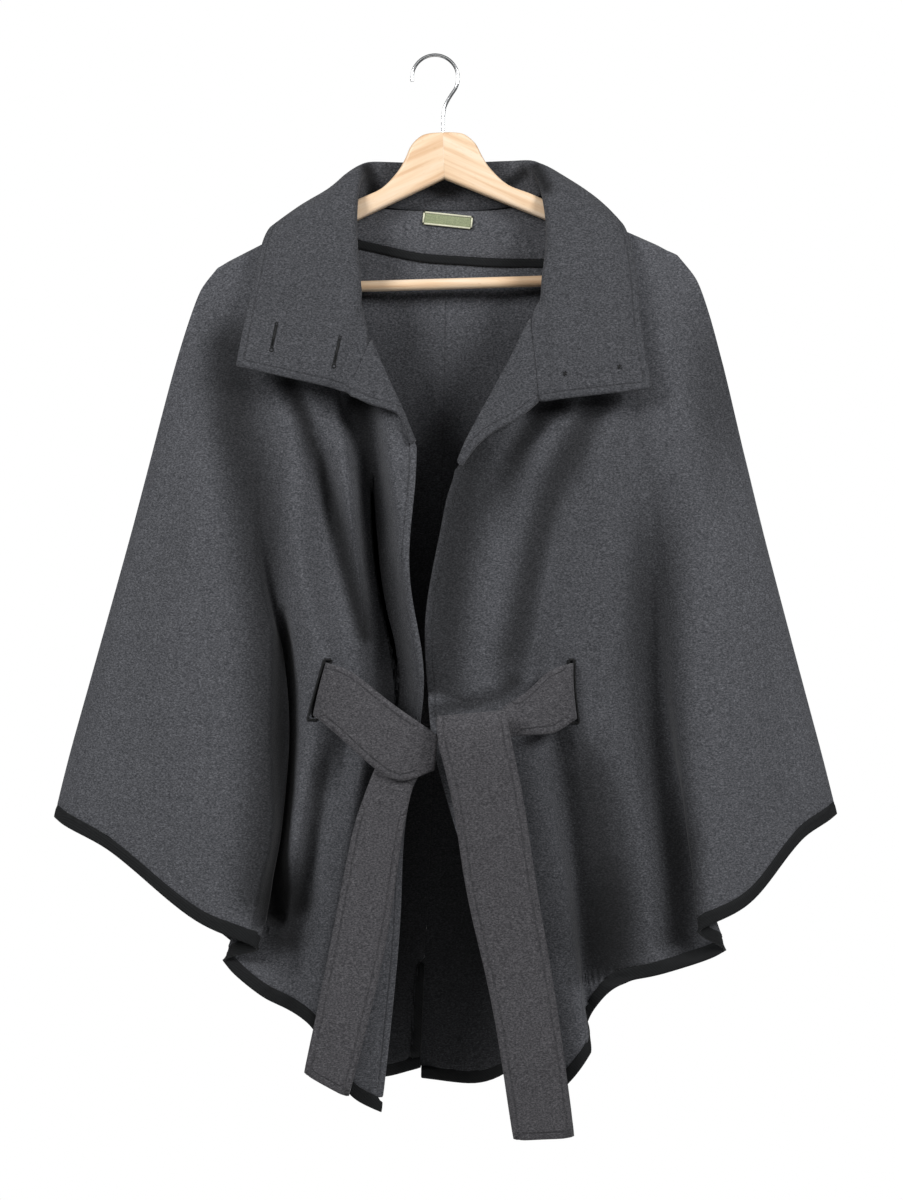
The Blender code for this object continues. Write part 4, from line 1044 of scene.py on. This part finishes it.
def stitchPiece(name, clothName, inset):
    # topstitching, a set distance in from the chosen borders
    v = stitchValues
    info = clothPieces[clothName]
    surface = surfaceOf(info["piece"])
    work = bmesh.new()
    for part in info["parts"]:
        run = part["b"] - part["a"]
        count = max(1, round(run.length / (v["pitch"] * mm)))
        for step in range(count):
            place = part["a"].lerp(part["b"], (step + 0.5) / count) + part["in"] * inset * mm
            if info["lookup"].find(place)[2] < v["clear"] * inset * mm:
                continue
            spot, normal, face, gap = surface.find_nearest(soften(place, clothName))
            if normal.dot(part["normal"]) < 0.2:
                continue
            addStitch(work, spot, run.normalized(), normal, v["size"])
    return addPiece(name, meshFrom(work, name), greyThread)


for clothName in ("rightFront", "leftFront", "turnedCollar", "rightTurn", "leftTurn",
                  "beltRightFront", "beltLeftFront", "beltRightEnd", "beltLeftEnd", "beltBack"):
    inset = woolLooks["beltWool" if "belt" in clothName else "feltedWool"]["inset"]
    stitchPiece(clothName + "Stitching", clothName, inset)
print("topstitching made")


holeValues = {
    "wide": 2.0, "count": 26, "side": (1.8, 1.2, 0.75), "slot": (1.5, 0.9), "tack": (3.4, 1.1, 0.75),
    "eyelet": {"radius": 1.9, "below": 1.0, "count": 10, "stitch": (1.9, 1.3, 0.75)},
    "holes": [((-154, -272), (-159, -298)), ((-92, -285.5), (-98, -314))],
    "crosses": [(127, -322.6), (180, -316)], "crossTurns": (38, 142, 80), "crossStitch": (7.0, 1.6, 1.2),
}
collarSurface = surfaceOf(collar)


def onCollar(x, z):
    # the collar's face and normal at a place seen from the front
    spot, normal, face, gap = collarSurface.ray_cast(Vector((x * mm, -0.2, z * mm)), Vector((0, 1, 0)))
    return spot, normal


def makeButtonholes():
    v = holeValues
    eyelet = v["eyelet"]
    work = bmesh.new()
    for (x0, z0), (x1, z1) in v["holes"]:
        run = Vector((x1 - x0, 0, z1 - z0))
        side = Vector((run.z, 0, -run.x)).normalized()
        for step in range(v["count"]):
            share = step / (v["count"] - 1)
            for which in (-1, 1):
                x = x0 + run.x * share + which * side.x * v["wide"] / 2
                z = z0 + run.z * share + which * side.z * v["wide"] / 2
                spot, normal = onCollar(x, z)
                addStitch(work, spot, side, normal, v["side"])
        spot, normal = onCollar(x0 + run.x / 2, z0 + run.z / 2)
        addStitch(work, spot, run.normalized(), normal, (run.length, *v["slot"]))
        for turn in range(eyelet["count"]):
            angle = math.tau * turn / eyelet["count"]
            x = x1 + eyelet["radius"] * math.cos(angle)
            z = z1 - eyelet["below"] + eyelet["radius"] * math.sin(angle)
            spot, normal = onCollar(x, z)
            along = Vector((math.cos(angle), 0, math.sin(angle)))
            addStitch(work, spot, along, normal, eyelet["stitch"])
        spot, normal = onCollar(x0, z0)
        addStitch(work, spot, side, normal, v["tack"])
    return addPiece("buttonholes", meshFrom(work, "buttonholes"), blackThread)


def makeCrosses():
    # where the buttons under the collar are sewn through
    v = holeValues
    work = bmesh.new()
    for x, z in v["crosses"]:
        for turn in v["crossTurns"]:
            spot, normal = onCollar(x, z)
            along = Vector((math.cos(math.radians(turn)), 0, math.sin(math.radians(turn))))
            addStitch(work, spot, along, normal, v["crossStitch"])
    return addPiece("buttonThreads", meshFrom(work, "buttonThreads"), blackThread)


buttonholes = makeButtonholes()
buttonThreads = makeCrosses()

slitValues = {
    "pitch": 1.1, "stitch": (4.2, 1.3, 1.4),
    "right": ((-132, -92), (-676, -604)), "left": ((122, 156), (-676, -604)),
}


def makeSlitRims(name, clothName, box):
    # the slit's bound edge: a close row of over-and-over stitches
    (x0, x1), (z0, z1) = box
    work = bmesh.new()
    for part in clothPieces[clothName]["all"]:
        middle = (part["a"] + part["b"]) / 2 / mm
        if not (x0 < middle.x < x1 and z0 < middle.z < z1):
            continue
        length = (part["b"] - part["a"]).length
        count = max(1, round(length / (slitValues["pitch"] * mm)))
        for step in range(count):
            place = part["a"].lerp(part["b"], (step + 0.5) / count)
            addStitch(work, soften(place, clothName), part["in"], part["normal"], slitValues["stitch"])
    return addPiece(name, meshFrom(work, name), blackThread)


rightSlit = makeSlitRims("rightSlitBinding", "rightFront", slitValues["right"])
leftSlit = makeSlitRims("leftSlitBinding", "leftFront", slitValues["left"])
print("sewing made")


studioValues = {
    "floorZ": -1.62, "floorRadius": 1.35, "world": "ffffff", "softStrength": 0.10, "behindStrength": 1.0,
    "lights": [
        ("leftLight", (-1.9, -1.7, 0.75), (0, 0, -0.6), (0.9, 0.9), 62),
        ("rightLight", (1.9, -1.7, 0.65), (0, 0, -0.6), (0.9, 0.9), 57),
        ("hookCard", (0.0, -0.9, 0.45), (0, 0, -0.02), (1.0, 0.6), 1.2),
    ],
}


def makeFloor():
    work = bmesh.new()
    bmesh.ops.create_circle(work, cap_ends=True, segments=96, radius=studioValues["floorRadius"])
    bmesh.ops.translate(work, vec=(0, 0, studioValues["floorZ"]), verts=work.verts)
    floor = bpy.data.objects.new("studioFloor", meshFrom(work, "studioFloor"))
    bpy.context.scene.collection.objects.link(floor)
    floor.data.materials.clear()
    floor.data.materials.append(floorPaint)


def makeLight(name, place, aim, size, power):
    light = bpy.data.lights.new(name, "AREA")
    light.shape = "RECTANGLE"
    light.size, light.size_y = size
    light.energy = power
    holder = bpy.data.objects.new(name, light)
    holder.location = place
    holder.rotation_euler = (Vector(aim) - Vector(place)).to_track_quat("-Z", "Y").to_euler()
    bpy.context.scene.collection.objects.link(holder)


def makeStudio():
    makeFloor()
    world = bpy.data.worlds.new("paleStudio")
    bpy.context.scene.world = world
    world.use_nodes = True
    tree = world.node_tree
    soft = tree.nodes["Background"]
    soft.inputs["Color"].default_value = linear(studioValues["world"])
    soft.inputs["Strength"].default_value = studioValues["softStrength"]
    behind = addNode(tree, "Background", {
        "Color": linear(studioValues["world"]), "Strength": studioValues["behindStrength"],
    })
    seen = addNode(tree, "LightPath").outputs["Is Camera Ray"]
    both = addNode(tree, "MixShader", links={0: seen, 1: soft.outputs[0], 2: behind.outputs[0]})
    tree.links.new(both.outputs[0], tree.nodes["World Output"].inputs["Surface"])
    for light in studioValues["lights"]:
        makeLight(*light)
    bpy.context.scene.view_settings.view_transform = "Standard"


# 1.2 m of height fills the frame at the cape's plane, 2.2 m away
cameraValues = {"at": (0.0165, -2.2, -0.543), "sensor": 24, "lens": 44}


def makeCamera():
    lens = bpy.data.cameras.new("studioCamera")
    lens.sensor_fit = "VERTICAL"
    lens.sensor_height = cameraValues["sensor"]
    lens.lens = cameraValues["lens"]
    camera = bpy.data.objects.new("studioCamera", lens)
    camera.location = cameraValues["at"]
    camera.rotation_euler = (math.radians(90), 0, 0)
    bpy.context.scene.collection.objects.link(camera)
    bpy.context.scene.camera = camera


makeStudio()
makeCamera()
print("studio ready")
